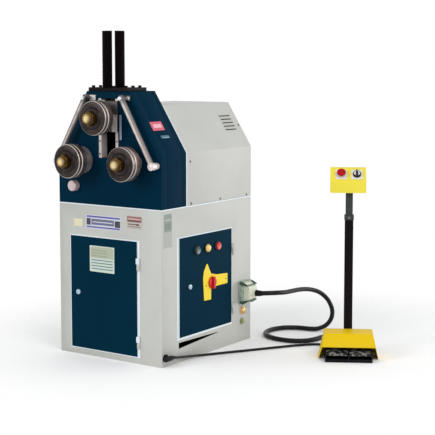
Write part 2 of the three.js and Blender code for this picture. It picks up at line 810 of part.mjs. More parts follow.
function lockNut(x, z) {
  const y1 = rollFrontY - seatGap;
  const corner = nutAcrossFlats / 2 / Math.cos(Math.PI / 6);
  const geometry = new THREE.CylinderGeometry(corner, corner, nutThickness, 6);
  geometry.translate(x, y1 - nutThickness / 2, z);
  const bore = barY(noseRadius + seatGap, y1 - nutThickness - cutOverrun, y1 + cutOverrun, x, z, 32);
  return cut(solidOf(geometry), bore);
}

function lowerShaft(x, collar) {
  const collarRearY = frontY - 2 * seatGap;
  const gearRearY = headRearY + gearGapBehindPlate + gearFaceWidth;
  return turnedY([
    [0, noseEndY], [noseRadius, noseEndY], [noseRadius, rollRearY + seatGap], [collar, rollRearY + seatGap],
    [collar, collarRearY], [journalRadius, collarRearY], [journalRadius, headRearY + seatGap],
    [gearSeatRadius, headRearY + seatGap], [gearSeatRadius, gearRearY], [0, gearRearY],
  ], x, lowerRollHeight, 32);
}

function upperShaft() {
  const collarRearY = keeperFrontY - seatGap;
  const journalRearY = keeperFrontY + slideDepth - 2 * sheet;
  return turnedY([
    [0, noseEndY], [noseRadius, noseEndY], [noseRadius, rollRearY + seatGap], [collarRadius, rollRearY + seatGap],
    [collarRadius, collarRearY], [upperJournalRadius, collarRearY], [upperJournalRadius, journalRearY],
    [0, journalRearY],
  ], 0, upperRollHeight, 32);
}

// Gear train behind the head: a pinion between the two lower shafts' gears

function involute(angle) {
  return Math.tan(angle) - angle;
}

// Half the angle that a tooth takes up at a radius, from the involute of its base circle
function toothHalfAngle(radius, pitchRadius, teeth) {
  const alpha = THREE.MathUtils.degToRad(pressureAngle);
  const baseRadius = pitchRadius * Math.cos(alpha);
  const local = Math.acos(Math.min(1, baseRadius / radius));
  const atPitch = Math.PI / (2 * teeth) * (1 - gearBacklashShare);
  return atPitch + involute(alpha) - involute(local);
}

function gearOutline(teeth, flankShares, phase) {
  const pitchRadius = gearModule * teeth / 2;
  const points = [];
  for (let tooth = 0; tooth < teeth; tooth += 1) {
    const centre = phase + tooth * 2 * Math.PI / teeth;
    for (const side of [-1, 1]) {
      const shares = side < 0 ? flankShares : [...flankShares].reverse();
      for (const share of shares) {
        const radius = pitchRadius + share * gearModule;
        const angle = centre + side * toothHalfAngle(radius, pitchRadius, teeth);
        points.push([radius * Math.cos(angle), radius * Math.sin(angle)]);
      }
    }
  }
  return points;
}

const flankShares = [-1.2, -0.1, 0.9];
const gearFrontY = headRearY + gearGapBehindPlate;
const gearRearY = gearFrontY + gearFaceWidth;

function shaftGear(x) {
  const outline = gearOutline(gearTeeth, flankShares, 0);
  const blank = plateY(outline.map(([u, v]) => [x + u, lowerRollHeight + v]), gearFrontY, gearRearY - seatGap);
  const bore = barY(gearSeatRadius + seatGap, gearFrontY - cutOverrun, gearRearY + cutOverrun,
    x, lowerRollHeight, 32);
  return cut(blank, bore);
}

const gearboxFrontY = gearRearY + gearboxGap;

function drivePinion() {
  const outline = gearOutline(pinionTeeth, flankShares, Math.PI / pinionTeeth);
  const blank = plateY(outline.map(([u, v]) => [u, lowerRollHeight + v]), gearFrontY, gearRearY - seatGap);
  const shaft = barY(pinionShaftRadius, gearFrontY + seatGap, gearRearY + pinionShaftLength,
    0, lowerRollHeight, 20);
  return join(blank, shaft);
}

function gearMotor() {
  const half = gearboxSize / 2;
  const y1 = gearboxFrontY + gearboxDepth;
  const box = block(-half, half, gearboxFrontY, y1, lowerRollHeight - half, lowerRollHeight + half);
  const foot = block(-gearboxFootWidth / 2, gearboxFootWidth / 2, gearboxFrontY + gearboxGap, y1 - gearboxGap,
    headBottom, lowerRollHeight - half + sheet);
  const motorRearY = rearY - sheet - motorRearGap;
  const motor = barY(motorRadius, y1 - sheet, motorRearY, 0, lowerRollHeight, 32);
  const terminalBox = block(-half / 2, half / 2, y1 + gearboxGap, (y1 + motorRearY) / 2,
    lowerRollHeight + motorRadius / 2, lowerRollHeight + half);
  const bore = barY(pinionShaftRadius + turnClearance, gearboxFrontY - cutOverrun,
    gearRearY + pinionShaftLength + sheet, 0, lowerRollHeight, 24);
  return cut(join(box, foot, motor, terminalBox), bore);
}

// Hydraulic tank with its pump motor, standing on the base plate
function powerUnit() {
  const z0 = basePlateThickness + seatGap;
  const z1 = z0 + tankHeight;
  const tank = block(tankX - tankWidth / 2, tankX + tankWidth / 2, tankY - tankDepth / 2,
    tankY + tankDepth / 2, z0, z1);
  const pump = barZ(pumpRadius, z1 - sheet, z1 + pumpHeight, tankX, tankY, 28);
  return join(tank, pump);
}

// Side bars of the head: a bolted block at the top, and an eye on a pin at the foot
function guideBar(side) {
  const top = [side * barTopX, barAxisY, barTopHeight];
  const foot = [side * barFootX, barAxisY, barFootHeight];
  const faceY = frontY - seatGap;
  const rod = barBetween(barRadius, top, foot, 16);
  const inner = side * (barTopX - barBlockWidth * barBlockInnerShare);
  const outer = side * (barTopX + barBlockWidth * (1 - barBlockInnerShare));
  const plate = block(Math.min(inner, outer), Math.max(inner, outer), faceY - barBoltRadius, faceY,
    barTopHeight - barBlockHeight / 2, barTopHeight + barBlockHeight / 2);
  const standoff = barY(barRadius, barAxisY, faceY - seatGap, top[0], top[2], 12);
  const eye = barY(barEyeRadius, barAxisY - barRadius, barAxisY + barRadius, foot[0], foot[2], 16);
  const pin = barY(barPinRadius, barAxisY - barRadius - sheet, faceY, foot[0], foot[2], 12);
  const collar = barY(barEyeRadius - sheet, faceY - barBoltRadius, faceY, foot[0], foot[2], 16);
  const bolts = barBoltShares.map((share) => barY(barBoltRadius, faceY - barBoltRadius - barBoltHeight,
    faceY - seatGap, inner + (outer - inner) * share, barTopHeight, 6));
  return join(rod, plate, standoff, eye, pin, collar, ...bolts);
}

function supportPeg() {
  const y1 = frontY - seatGap;
  return turnedY([
    [0, y1 - pegLength], [pegRadius - sheet, y1 - pegLength], [pegRadius, y1 - pegLength + sheet],
    [pegRadius, y1], [0, y1],
  ], pegX, pegHeight, 28);
}

// Multi-pin connector, and the gland of the thin cable

const connectorBaseX = sideX + seatGap;
const connectorHoodX = connectorBaseX + connectorBaseRise + seatGap;
const connectorHoodEnd = connectorHoodX + connectorHoodRise;

function connectorBase() {
  const halfY = connectorWidth / 2;
  const halfZ = connectorLength / 2;
  return block(connectorBaseX, connectorBaseX + connectorBaseRise, connectorY - halfY, connectorY + halfY,
    connectorHeight - halfZ, connectorHeight + halfZ);
}

function connectorHood() {
  const halfY = connectorWidth / 2 - connectorHoodInset;
  const halfZ = connectorLength / 2 - connectorHoodInset;
  const outline = [
    [connectorHoodX, connectorHeight - halfZ], [connectorHoodEnd, connectorHeight - halfZ + connectorHoodChamfer],
    [connectorHoodEnd, connectorHeight + halfZ - connectorHoodChamfer], [connectorHoodX, connectorHeight + halfZ],
  ];
  const shell = plateY(outline, connectorY - halfY, connectorY + halfY);
  const gland = barX(connectorGlandRadius, connectorHoodEnd - sheet, connectorHoodEnd + connectorGlandLength,
    connectorY, connectorHeight, 12);
  return join(shell, gland);
}

function cableGland() {
  const x0 = sideX + seatGap;
  const x1 = sideX + cableGlandOffset;
  const flange = barX(cableGlandFlangeRadius, x0, x0 + cableGlandFlangeThickness,
    cableGlandY, cableGlandHeight, 20);
  const neck = barX(cableGlandRadius, x0, x1, cableGlandY, cableGlandHeight, 16);
  const outlet = barY(cableGlandRadius, cableGlandY - cableGlandLength / 2, cableGlandY + cableGlandLength / 2,
    x1, cableGlandHeight, 16);
  return join(flange, neck, outlet);
}

// Foot pedal and control post, drawn with -Y to the user and turned as one group

const pedestal = new THREE.Group();
pedestal.position.set(pedestalX, pedestalY, 0);
pedestal.rotation.z = THREE.MathUtils.degToRad(pedestalTurn);
group.add(pedestal);

function setback(distance) {
  return pedalUnitFront + distance;
}

const pedalUnitBottom = pedalPlateThickness + seatGap;

function pedalHousing() {
  const half = pedalUnitWidth / 2;
  const floor = block(-half, half, setback(0), setback(pedalUnitDepth),
    pedalUnitBottom, pedalUnitBottom + pedalFloor);
  const walls = [-half + pedalCheek / 2, 0, half - pedalCheek / 2].map((u) => plateX([
    [setback(0), pedalUnitBottom], [setback(pedalUnitDepth), pedalUnitBottom],
    [setback(pedalUnitDepth), pedalUnitBottom + pedalCheekHeight],
    [setback(pedalUnitDepth / 2), pedalUnitBottom + pedalCheekHeight],
    [setback(0), pedalUnitBottom + pedalCheekHeight / 2],
  ], u - pedalCheek / 2, u + pedalCheek / 2));
  const back = block(-half, half, setback(pedalUnitDepth - pedalCheek), setback(pedalUnitDepth),
    pedalUnitBottom, pedalUnitBottom + pedalCheekHeight);
  return join(floor, back, ...walls);
}

const pedalPivotY = setback(pedalPivotSetback);
const pedalPivotZ = pedalRearHeight - pedalThickness / 2;

function pedal(side) {
  const inner = pedalCheek / 2 + pedalHollowGap;
  const outer = pedalUnitWidth / 2 - pedalCheek - pedalHollowGap;
  const u0 = side > 0 ? inner : -outer;
  const u1 = side > 0 ? outer : -inner;
  const tread = plateX([
    [setback(pedalThickness / 2), pedalFrontHeight - pedalThickness],
    [pedalPivotY, pedalRearHeight - pedalThickness],
    [pedalPivotY, pedalRearHeight], [setback(pedalThickness / 2), pedalFrontHeight],
  ], u0, u1);
  return join(tread, barX(pedalPivotRadius, u0, u1, pedalPivotY, pedalPivotZ, 20));
}

function trapezoid(topHalf, footHalf, bottom, top) {
  return [[-footHalf, bottom], [footHalf, bottom], [topHalf, top], [-topHalf, top]];
}

function pedalHood() {
  const rear = setback(hoodRearSetback);
  const lip = setback(hoodLipSetback);
  const flare = (hoodFootHalfWidth - hoodTopHalfWidth) / hoodHeight;
  const outer = plateY(trapezoid(hoodTopHalfWidth, hoodFootHalfWidth, 0, hoodHeight), lip, rear);
  const innerTop = hoodTopHalfWidth + flare * sheet - sheet;
  const innerFoot = hoodFootHalfWidth + flare * cutOverrun - sheet;
  const inner = plateY(trapezoid(innerTop, innerFoot, -cutOverrun, hoodHeight - sheet),
    lip - cutOverrun, rear - sheet);
  const top = setback(hoodTopSetback);
  const slope = (hoodHeight - hoodLipHeight) / (hoodTopSetback - hoodLipSetback);
  const wide = hoodFootHalfWidth + cutOverrun;
  const wedge = (inset) => plateX([
    [lip - hoodHeight, hoodLipHeight - inset - slope * hoodHeight],
    [top + hoodHeight, hoodHeight - inset + slope * hoodHeight],
    [lip - hoodHeight, hoodHeight * 4],
  ], -wide, wide);
  const shell = cut(cut(outer, wedge(0)), cut(inner, wedge(sheet * Math.hypot(1, slope))));
  const frontCut = plateX([
    [lip - cutOverrun, -cutOverrun], [setback(wingFootSetback), -cutOverrun],
    [setback(wingFootSetback), 0], [lip - cutOverrun, hoodLipHeight - sheet],
  ], -wide, wide);
  const notch = block(-postFootHalfWidth - turnClearance, postFootHalfWidth + turnClearance,
    rear - 2 * sheet, rear + cutOverrun, -cutOverrun, pedalPlateThickness + seatGap);
  return cut(shell, frontCut, notch);
}

const postY = setback(postSetback);

// The plate below the pedals, with a tongue to the rear that carries the post's lower tube
function pedestalFrame() {
  const wideHalf = pedalUnitWidth / 2;
  const half = postWidth / 2;
  const bore = half - postWall;
  const wide = block(-wideHalf, wideHalf, setback(0), setback(hoodRearSetback) - sheet - seatGap,
    0, pedalPlateThickness);
  const tongue = block(-postFootHalfWidth, postFootHalfWidth, setback(pedalUnitDepth / 2), setback(postFootRear),
    0, pedalPlateThickness);
  const post = block(-half, half, postY - half, postY + half, 0, postTop);
  const inside = block(-bore, bore, postY - bore, postY + bore, postWidth, postTop + cutOverrun);
  return cut(join(wide, tongue, post), inside);
}

function postUpper() {
  const half = innerPostWidth / 2;
  return block(-half, half, postY - half, postY + half, innerPostBottom, boxBottom - seatGap);
}

const panelAngle = Math.atan2(boxTop - boxFold, boxTopSetback - boxFrontSetback);
const panelY = setback(boxFrontSetback + (boxTopSetback - boxFrontSetback) * controlPanelShare);
const panelZ = boxFold + (boxTop - boxFold) * controlPanelShare;

// A round piece square to the sloping panel, between two heights above it
function onPanel(radius, u, low, high, sides) {
  const normal = new THREE.Vector3(0, -Math.sin(panelAngle), Math.cos(panelAngle));
  const foot = new THREE.Vector3(u, panelY, panelZ);
  const start = foot.clone().addScaledVector(normal, low);
  const end = foot.clone().addScaledVector(normal, high);
  return barBetween(radius, start.toArray(), end.toArray(), sides);
}

function controlBox() {
  const shell = plateX([
    [setback(boxFrontSetback), boxBottom], [setback(boxRearSetback), boxBottom],
    [setback(boxRearSetback), boxTop], [setback(boxTopSetback), boxTop], [setback(boxFrontSetback), boxFold],
  ], boxOffset - boxHalfWidth, boxOffset + boxHalfWidth);
  const bores = [stopButtonU, selectorU].map((u) => onPanel(controlStemRadius + turnClearance, u,
    -controlStemLength - stopTravel - sheet, cutOverrun, 20));
  return cut(shell, ...bores);
}

function stopButton() {
  return join(
    onPanel(stopNeckRadius, stopButtonU, stopTravel + seatGap, stopNeckRise + sheet, 20),
    onPanel(stopHeadRadius, stopButtonU, stopNeckRise, stopHeadRise, 28),
    onPanel(controlStemRadius, stopButtonU, -controlStemLength, stopNeckRise, 16),
  );
}

function selectorKnob() {
  const disc = join(
    onPanel(selectorRadius, selectorU, seatGap, selectorRise, 28),
    onPanel(controlStemRadius, selectorU, -controlStemLength, selectorRise, 16),
  );
  const grip = new THREE.BoxGeometry(selectorGrip, 2 * selectorRadius - sheet, selectorRise);
  grip.translate(0, 0, selectorRise + selectorRise / 2 - sheet);
  grip.rotateX(panelAngle);
  grip.translate(selectorU, panelY, panelZ);
  return join(disc, solidOf(grip));
}

// Cables: the chosen points, then a short straight run square into the pedal's rear wall.
// Where the outlet stands elsewhere, the route starts from it and eases back to the chosen points.

function pedestalPoint(u, distance, z) {
  const turn = THREE.MathUtils.degToRad(pedestalTurn);
  const v = setback(distance);
  return [
    pedestalX + u * Math.cos(turn) - v * Math.sin(turn),
    pedestalY + u * Math.sin(turn) + v * Math.cos(turn),
    z,
  ];
}

function cableRoute(outlet, route, endU, endHeight, radius) {
  const last = route.length - 1;
  const eased = route.map((point, index) => point.map((value, axis) => (
    value + (outlet[axis] - route[0][axis]) * (1 - index / last))));
  const leads = cableLeadRadii.map((share, index) => pedestalPoint(endU, hoodRearSetback + share * radius,
    index > 0 ? endHeight : endHeight - radius * cableLeadDropShare));
  return [...eased, ...leads, pedestalPoint(endU, hoodRearSetback + seatGap, endHeight)];
}

function cable(route, radius, steps, sides) {
  const section = new THREE.Shape();
  for (let corner = 0; corner <= sides; corner += 1) {
    const angle = (2 * corner + 1) * Math.PI / sides;
    const point = [radius * Math.cos(angle), radius * Math.sin(angle)];
    if (corner === 0) {
      section.moveTo(...point);
    } else {
      section.lineTo(...point);
    }
  }
  const places = route.map((point) => new THREE.Vector3(...point));
  const path = new THREE.CatmullRomCurve3(places, false, 'centripetal');
  const geometry = new THREE.ExtrudeGeometry(section, { steps, extrudePath: path, bevelEnabled: false });
  return solidOf(geometry);
}

// Assembly

add('base_plate', basePlate(), 'black');
add('cabinet_front', cabinetFront(), 'cabinet');
add('cabinet_right', cabinetRight(), 'cabinet');
add('cabinet_left', cabinetLeft(), 'cabinet');
add('rear_panel', rearPanel(), 'cabinet');
add('deck_plate', deck(), 'cabinet');
add('front_door', frontDoor(), 'door');
add('front_door_latch', frontLatch(), 'chrome');
add('side_door', sideDoor(), 'door');
add('side_door_latch', sideLatch(), 'chrome');
add('start_button', pushButton(buttonPlaces[0]), 'green');
add('halt_button', pushButton(buttonPlaces[2]), 'red');
add('switch_handle', switchHandle(), 'red');

add('head_front_plate', headFrontPlate(), 'head');
add('head_rear_plate', headRearPlate(), 'head');
add('head_cover_left', headCover(-1), 'head');
add('head_cover_right', headCover(1), 'head');
add('rear_casing_left', rearCasing(-1), 'cabinet');
add('rear_casing_right', rearCasing(1), 'cabinet');
add('top_flange', topFlange(), 'black');
add('slotted_tube', slottedTube(), 'black');

add('gib_left', gib(-1), 'steel');
add('gib_right', gib(1), 'steel');
add('slide_block', slideBlock(), 'steel');
add('lift_cylinder', liftCylinder(), 'darkSteel');
add('stop_spindle', stopSpindle(), 'steel');

const lowerCollars = { left: leftCollarRadius, right: collarRadius };
for (const [name, x] of [['left', -shaftX], ['right', shaftX]]) {
  add(`${name}_shaft`, lowerShaft(x, lowerCollars[name]), 'steel');
  add(`${name}_roll_front`, frontRing(x, lowerRollHeight), 'darkSteel');
  add(`${name}_roll_rear`, rearRing(x, lowerRollHeight), 'darkSteel');
  add(`${name}_roll_nut`, lockNut(x, lowerRollHeight), 'brass');
  add(`${name}_gear`, shaftGear(x), 'steel');
}
add('upper_shaft', upperShaft(), 'steel');
add('upper_roll_front', frontRing(0, upperRollHeight), 'darkSteel');
add('upper_roll_rear', rearRing(0, upperRollHeight), 'darkSteel');
add('upper_roll_nut', lockNut(0, upperRollHeight), 'brass');
add('drive_pinion', drivePinion(), 'steel');
add('gear_motor', gearMotor(), 'motor');
add('hydraulic_power_unit', powerUnit(), 'motor');

add('guide_bar_left', guideBar(-1), 'steel');
add('guide_bar_right', guideBar(1), 'steel');
add('support_peg', supportPeg(), 'steel');

add('connector_base', connectorBase(), 'greyPlastic');
add('connector_hood', connectorHood(), 'greyPlastic');
add('cable_gland', cableGland(), 'blackPlastic');

addTo(pedestal, 'pedestal_frame', pedestalFrame(), 'black');
addTo(pedestal, 'pedal_housing', pedalHousing(), 'blackPlastic');
addTo(pedestal, 'pedal_left', pedal(-1), 'blackPlastic');
addTo(pedestal, 'pedal_right', pedal(1), 'blackPlastic');
addTo(pedestal, 'pedal_hood', pedalHood(), 'yellow');
addTo(pedestal, 'post_upper', postUpper(), 'black');
addTo(pedestal, 'control_box', controlBox(), 'yellow');
addTo(pedestal, 'stop_button', stopButton(), 'red');
addTo(pedestal, 'selector_knob', selectorKnob(), 'blackPlastic');

const pedalCableOutlet = [
  connectorHoodEnd + connectorGlandLength + pedalCableStart, connectorY, connectorHeight,
];
const thinCableOutlet = [sideX + cableGlandOffset, cableGlandY + cableGlandLength / 2 + seatGap, cableGlandHeight];
add('pedal_cable', cable(cableRoute(pedalCableOutlet, pedalCableRoute, pedalCableEndU, pedalCableEndHeight,
  pedalCableRadius), pedalCableRadius, 64, 8), 'rubber');
add('thin_cable', cable(cableRoute(thinCableOutlet, thinCableRoute, thinCableEndU, thinCableEndHeight,
  thinCableRadius), thinCableRadius, 48, 8), 'rubber');

export default group;
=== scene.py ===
"""Looks of a ring roller: its painted cabinet and head, the rolls, the doors and their controls,
and the foot pedal with its post and cables. All lengths are in metres."""

import json
import math

import bmesh
import bpy
from bpy.props import FloatProperty, FloatVectorProperty, IntProperty, PointerProperty
from mathutils import Matrix, Vector

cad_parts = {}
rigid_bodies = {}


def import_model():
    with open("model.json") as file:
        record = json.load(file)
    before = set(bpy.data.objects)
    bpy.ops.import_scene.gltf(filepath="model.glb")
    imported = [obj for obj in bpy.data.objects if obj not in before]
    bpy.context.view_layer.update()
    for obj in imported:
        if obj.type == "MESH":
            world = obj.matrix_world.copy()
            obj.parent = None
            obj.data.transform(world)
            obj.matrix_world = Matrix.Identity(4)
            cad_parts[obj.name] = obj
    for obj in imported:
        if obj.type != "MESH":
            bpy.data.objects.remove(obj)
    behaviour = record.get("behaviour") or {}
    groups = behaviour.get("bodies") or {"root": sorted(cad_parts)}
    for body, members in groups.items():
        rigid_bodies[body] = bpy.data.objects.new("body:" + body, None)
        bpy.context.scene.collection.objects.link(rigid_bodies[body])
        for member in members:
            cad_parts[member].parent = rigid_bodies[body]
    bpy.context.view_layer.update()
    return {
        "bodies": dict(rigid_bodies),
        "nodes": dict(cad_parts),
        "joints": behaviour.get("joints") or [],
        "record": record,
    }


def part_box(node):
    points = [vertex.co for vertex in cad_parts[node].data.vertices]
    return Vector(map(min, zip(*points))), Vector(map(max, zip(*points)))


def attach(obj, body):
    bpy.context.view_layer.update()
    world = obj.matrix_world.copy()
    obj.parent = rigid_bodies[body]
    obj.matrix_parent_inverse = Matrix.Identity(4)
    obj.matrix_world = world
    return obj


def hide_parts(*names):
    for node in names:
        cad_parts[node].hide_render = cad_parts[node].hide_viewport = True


bl_info = {
    "name": "Ring roller looks",
    "version": (1, 0, 0),
    "blender": (4, 5, 0),
    "location": "View3D > Sidebar > Ring roller",
    "description": "Builds the finished look of a ring roller around its solid model",
    "category": "Object",
}

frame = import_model()
PARTS = frame["nodes"]

# Places taken from the solid model, so that the looks follow it
CABINET_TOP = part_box("cabinet_front")[1].z
HEAD_LOW, HEAD_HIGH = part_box("head_front_plate")
SHEET = 0.003
SIDE_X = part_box("cabinet_right")[0].x + SHEET
FRONT_Y = HEAD_LOW.y
# The doors' faces, then their outlines as left, right, bottom and top
FRONT_DOOR_Y = -0.3533
SIDE_DOOR_X = 0.2933
FRONT_DOOR = (-0.223, 0.159, 0.030, 0.542)
SIDE_DOOR = (-0.228, 0.184, 0.107, 0.552)
# What sits on the doors, by its middle: along the door, and up
FRONT_LATCH = (-0.177, 0.286)
SIDE_LATCH = (-0.150, 0.326)
BUTTON_ROW = {"start": -0.0985, "lamp": -0.017, "halt": 0.0645}
BUTTON_HEIGHT = 0.484
SWITCH = (0.020, 0.321)
# The sloping side: the height where it starts, half the head's width on top, and how it leans
SHOULDER_Z = 0.924
HEAD_TOP_HALF = 0.120
SLOPE_RUN = (HEAD_HIGH.x - HEAD_TOP_HALF) / (HEAD_HIGH.z - SHOULDER_Z)
SLOPE_NORMAL = Vector((1.0, 0.0, SLOPE_RUN)).normalized()
TUBE_SLOT_TURN = math.radians(39)
# The pedal unit stands turned beside the machine. Its own places: front, post, and the box's controls
PEDESTAL_TURN = math.radians(30)
PEDESTAL = Matrix.Translation((0.854, 0.290, 0.0)) @ Matrix.Rotation(PEDESTAL_TURN, 4, "Z")
PEDAL_FRONT = -0.113
POST_SETBACK = 0.195
STOP_ACROSS, SELECTOR_ACROSS = -0.037, 0.033
# The rolls' axes, across and up
ROLL_AXES = {"left": (-0.150, 0.885), "right": (0.150, 0.885), "upper": (0.0, 1.078)}


def linear(red, green, blue):
    """A colour given as it looks on a screen, 0 to 255, as the renderer wants it."""
    def channel(value):
        value /= 255
        return value / 12.92 if value <= 0.04045 else ((value + 0.055) / 1.055) ** 2.4
    return (channel(red), channel(green), channel(blue))


def shade(colour, share):
    return tuple(min(1.0, channel * share) for channel in colour)


# Sizes and colours that a user would change


def colour_property(name, description, default):
    return FloatVectorProperty(name=name, description=description, subtype="COLOR", size=3,
                               min=0.0, max=1.0, default=default)


def length_property(name, description, default):
    return FloatProperty(name=name, description=description, unit="LENGTH", min=0.0, default=default)


class RollerPaints(bpy.types.PropertyGroup):
    cabinet: colour_property("Cabinet", "Paint of the cabinet and the rear casing", linear(190, 191, 186))
    head: colour_property("Head", "Paint of the head", linear(0, 38, 58))
    doors: colour_property("Doors", "Paint of both doors", linear(0, 40, 58))
    pedal: colour_property("Pedal hood", "Paint of the pedal hood and the control box",
                           linear(228, 192, 13))
    iron: colour_property("Black parts", "Paint of the guard tube, its flange and the post",
                          linear(17, 11, 13))


class RollerMetals(bpy.types.PropertyGroup):
    roll: colour_property("Rolls", "Oiled steel of the rolls", linear(35, 30, 29))
    steel: colour_property("Machined steel", "Bare steel of the bars and the slide", linear(196, 184, 180))
    brass: colour_property("Brass", "Nuts on the roll shafts", linear(92, 68, 28))
    ring_count: IntProperty(name="Turned lines", description="Turning lines across a roll's face",
                            default=26, min=0, max=80)


class RollerSizes(bpy.types.PropertyGroup):
    edge: length_property("Sheet edge", "Rounding of folded sheet edges", 0.0022)
    plate_edge: length_property("Plate edge", "Rounding of machined plates", 0.0012)
    pedal_cable: length_property("Pedal cable", "Diameter of the thick cable", 0.022)
    thin_cable: length_property("Thin cable", "Diameter of the thin cable", 0.011)
    louvre_length: length_property("Louvre length", "Length of a ventilation louvre", 0.093)
    louvres: IntProperty(name="Louvres", description="Louvres on each side of the casing", default=5, min=0,
                         max=12)
    tread_ribs: IntProperty(name="Tread ribs", description="Ribs on each pedal", default=9, min=0, max=20)


# Shader maths


class Signal:
    """A number that varies over a surface. Ordinary arithmetic on it adds Math nodes."""

    def __init__(self, maker, socket):
        self.maker = maker
        self.socket = socket

    def _maths(self, operation, first, second=None):
        feeds = {0: first} if second is None else {0: first, 1: second}
        return self.maker.node("ShaderNodeMath", {"operation": operation}, feeds)

    def __add__(self, other):
        return self._maths("ADD", self, other)

    def __radd__(self, other):
        return self._maths("ADD", other, self)

    def __sub__(self, other):
        return self._maths("SUBTRACT", self, other)

    def __rsub__(self, other):
        return self._maths("SUBTRACT", other, self)

    def __mul__(self, other):
        return self._maths("MULTIPLY", self, other)

    def __rmul__(self, other):
        return self._maths("MULTIPLY", other, self)

    def __abs__(self):
        return self._maths("ABSOLUTE", self)

    def above(self, level):
        return self._maths("GREATER_THAN", self, level)

    def below(self, level):
        return self._maths("LESS_THAN", self, level)

    def within(self, low, high):
        return self.above(low) * self.below(high)

    def larger(self, other):
        return self._maths("MAXIMUM", self, other)

    def sine(self):
        return self._maths("SINE", self)

    def root(self):
        return self._maths("SQRT", self)

    def smooth(self, low, high):
        """0 below low, 1 above high, and a soft step between them."""
        return self.maker.node("ShaderNodeMapRange", {"interpolation_type": "SMOOTHSTEP", "clamp": True},
                                {"Value": self, "From Min": low, "From Max": high})


class NodeMaker:
    """Adds nodes to one tree."""

    def __init__(self, tree):
        self.tree = tree

    def node(self, kind, settings=None, feeds=None, out=0):
        """Adds one node: its settings first, then the values or links of its sockets."""
        node = self.tree.nodes.new(kind)
        for key, value in (settings or {}).items():
            setattr(node, key, value)
        for key, value in (feeds or {}).items():
            self.feed(node.inputs[key], value)
        if out is None:
            return None
        if isinstance(out, tuple):
            return [Signal(self, node.outputs[key]) for key in out]
        return Signal(self, node.outputs[out])

    def feed(self, socket, value):
        if isinstance(value, Signal):
            self.tree.links.new(value.socket, socket)
        elif isinstance(value, tuple) and len(value) == 3 and len(socket.default_value) == 4:
            socket.default_value = (*value, 1.0)
        else:
            socket.default_value = value


class Finish(NodeMaker):
    """One material with a Principled shader, built from a few named steps."""

    def __init__(self, name, metallic=0.0, roughness=0.5, coat=0.0, specular=0.5):
        self.material = bpy.data.materials.new(name)
        self.material.use_nodes = True
        super().__init__(self.material.node_tree)
        self.shader = self.tree.nodes["Principled BSDF"]
        self.set("Metallic", metallic)
        self.set("Roughness", roughness)
        self.set("Coat Weight", coat)
        self.set("Specular IOR Level", specular)
        self.place = self.node("ShaderNodeTexCoord", out="Object")

    def set(self, name, value):
        self.feed(self.shader.inputs[name], value)

    def moved(self, centre, scale=(1, 1, 1)):
        """Object coordinates measured from a centre, and scaled."""
        shifted = self.node("ShaderNodeVectorMath", {"operation": "SUBTRACT"}, {0: self.place, 1: centre})
        return self.node("ShaderNodeMapping", {}, {"Vector": shifted, "Scale": scale})

    def axes(self, vector):
        return self.node("ShaderNodeSeparateXYZ", {}, {0: vector}, ("X", "Y", "Z"))

    def noise(self, vector, scale, detail=3.0, roughness=0.55):
        return self.node("ShaderNodeTexNoise", {}, {"Vector": vector, "Scale": scale, "Detail": detail,
                                                    "Roughness": roughness}, "Fac")

    def blend(self, share, first, second):
        """A colour between two, by a share that varies."""
        return self.node("ShaderNodeMix", {"data_type": "RGBA"}, {0: share, 6: first, 7: second}, 2)

    def bump(self, height, strength, distance):
        normal = self.node("ShaderNodeBump", {}, {"Height": height, "Strength": strength,
                                                  "Distance": distance})
        self.set("Normal", normal)


# Finishes

# Each finish: its material, and the slot that it usually fills
FINISHES = {}
ROLL_RADIUS = 0.075


def sheet_paint(name, colour, roughness=0.42, dust=0.5, shadow=0.9, light=1.05, specular=0.3):
    """Powder coat on sheet steel: slight clouds, a fine peel, and dust near the floor."""
    finish = Finish(name, roughness=roughness, specular=specular)
    height = finish.axes(finish.place)[2]
    clouds = finish.noise(finish.place, 7.0, 4.0)
    grain = finish.noise(finish.place, 420.0, 2.0)
    rubs = finish.noise(finish.moved((0, 0, 0), scale=(1, 1, 0.12)), 60.0, 5.0, 0.7).smooth(0.62, 0.78)
    base = finish.blend(clouds, shade(colour, shadow), shade(colour, light))
    flecked = finish.blend(grain.smooth(0.35, 0.7) * 0.30, base, shade(colour, shadow * 0.93))
    worn = finish.blend(rubs * 0.14, flecked, shade(colour, 1.22))
    low = (1 - height.smooth(0.0, 0.14)) * finish.noise(finish.place, 26.0, 5.0) * dust
    finish.set("Base Color", finish.blend(low, worn, linear(128, 118, 104)))
    finish.set("Roughness", roughness + (clouds - 0.5) * 0.16 + grain * 0.05 + low * 0.3)
    finish.bump(grain + clouds * 0.2, 0.16, 0.0005)
    return finish.material


def plain_paint(name, colour, roughness=0.45, metallic=0.0, wear=None, coat=0.0, scale=24.0, specular=0.3,
                rubbed=0.55, patches=(0.56, 0.72)):
    """Paint or moulded plastic with faint clouds and a fine grain, and rubs where it is handled."""
    finish = Finish(name, roughness=roughness, metallic=metallic, coat=coat, specular=specular)
    clouds = finish.noise(finish.place, scale, 4.0)
    grain = finish.noise(finish.place, 900.0, 2.0)
    base = finish.blend(clouds, shade(colour, 0.86), shade(colour, 1.1))
    if wear:
        rubs = finish.noise(finish.place, scale * 4, 6.0, 0.72).smooth(*patches)
        base = finish.blend(rubs * rubbed, base, wear)
    finish.set("Base Color", base)
    finish.set("Roughness", roughness + (clouds - 0.5) * 0.2 + grain * 0.06)
    finish.bump(grain, 0.14, 0.0004)
    return finish.material


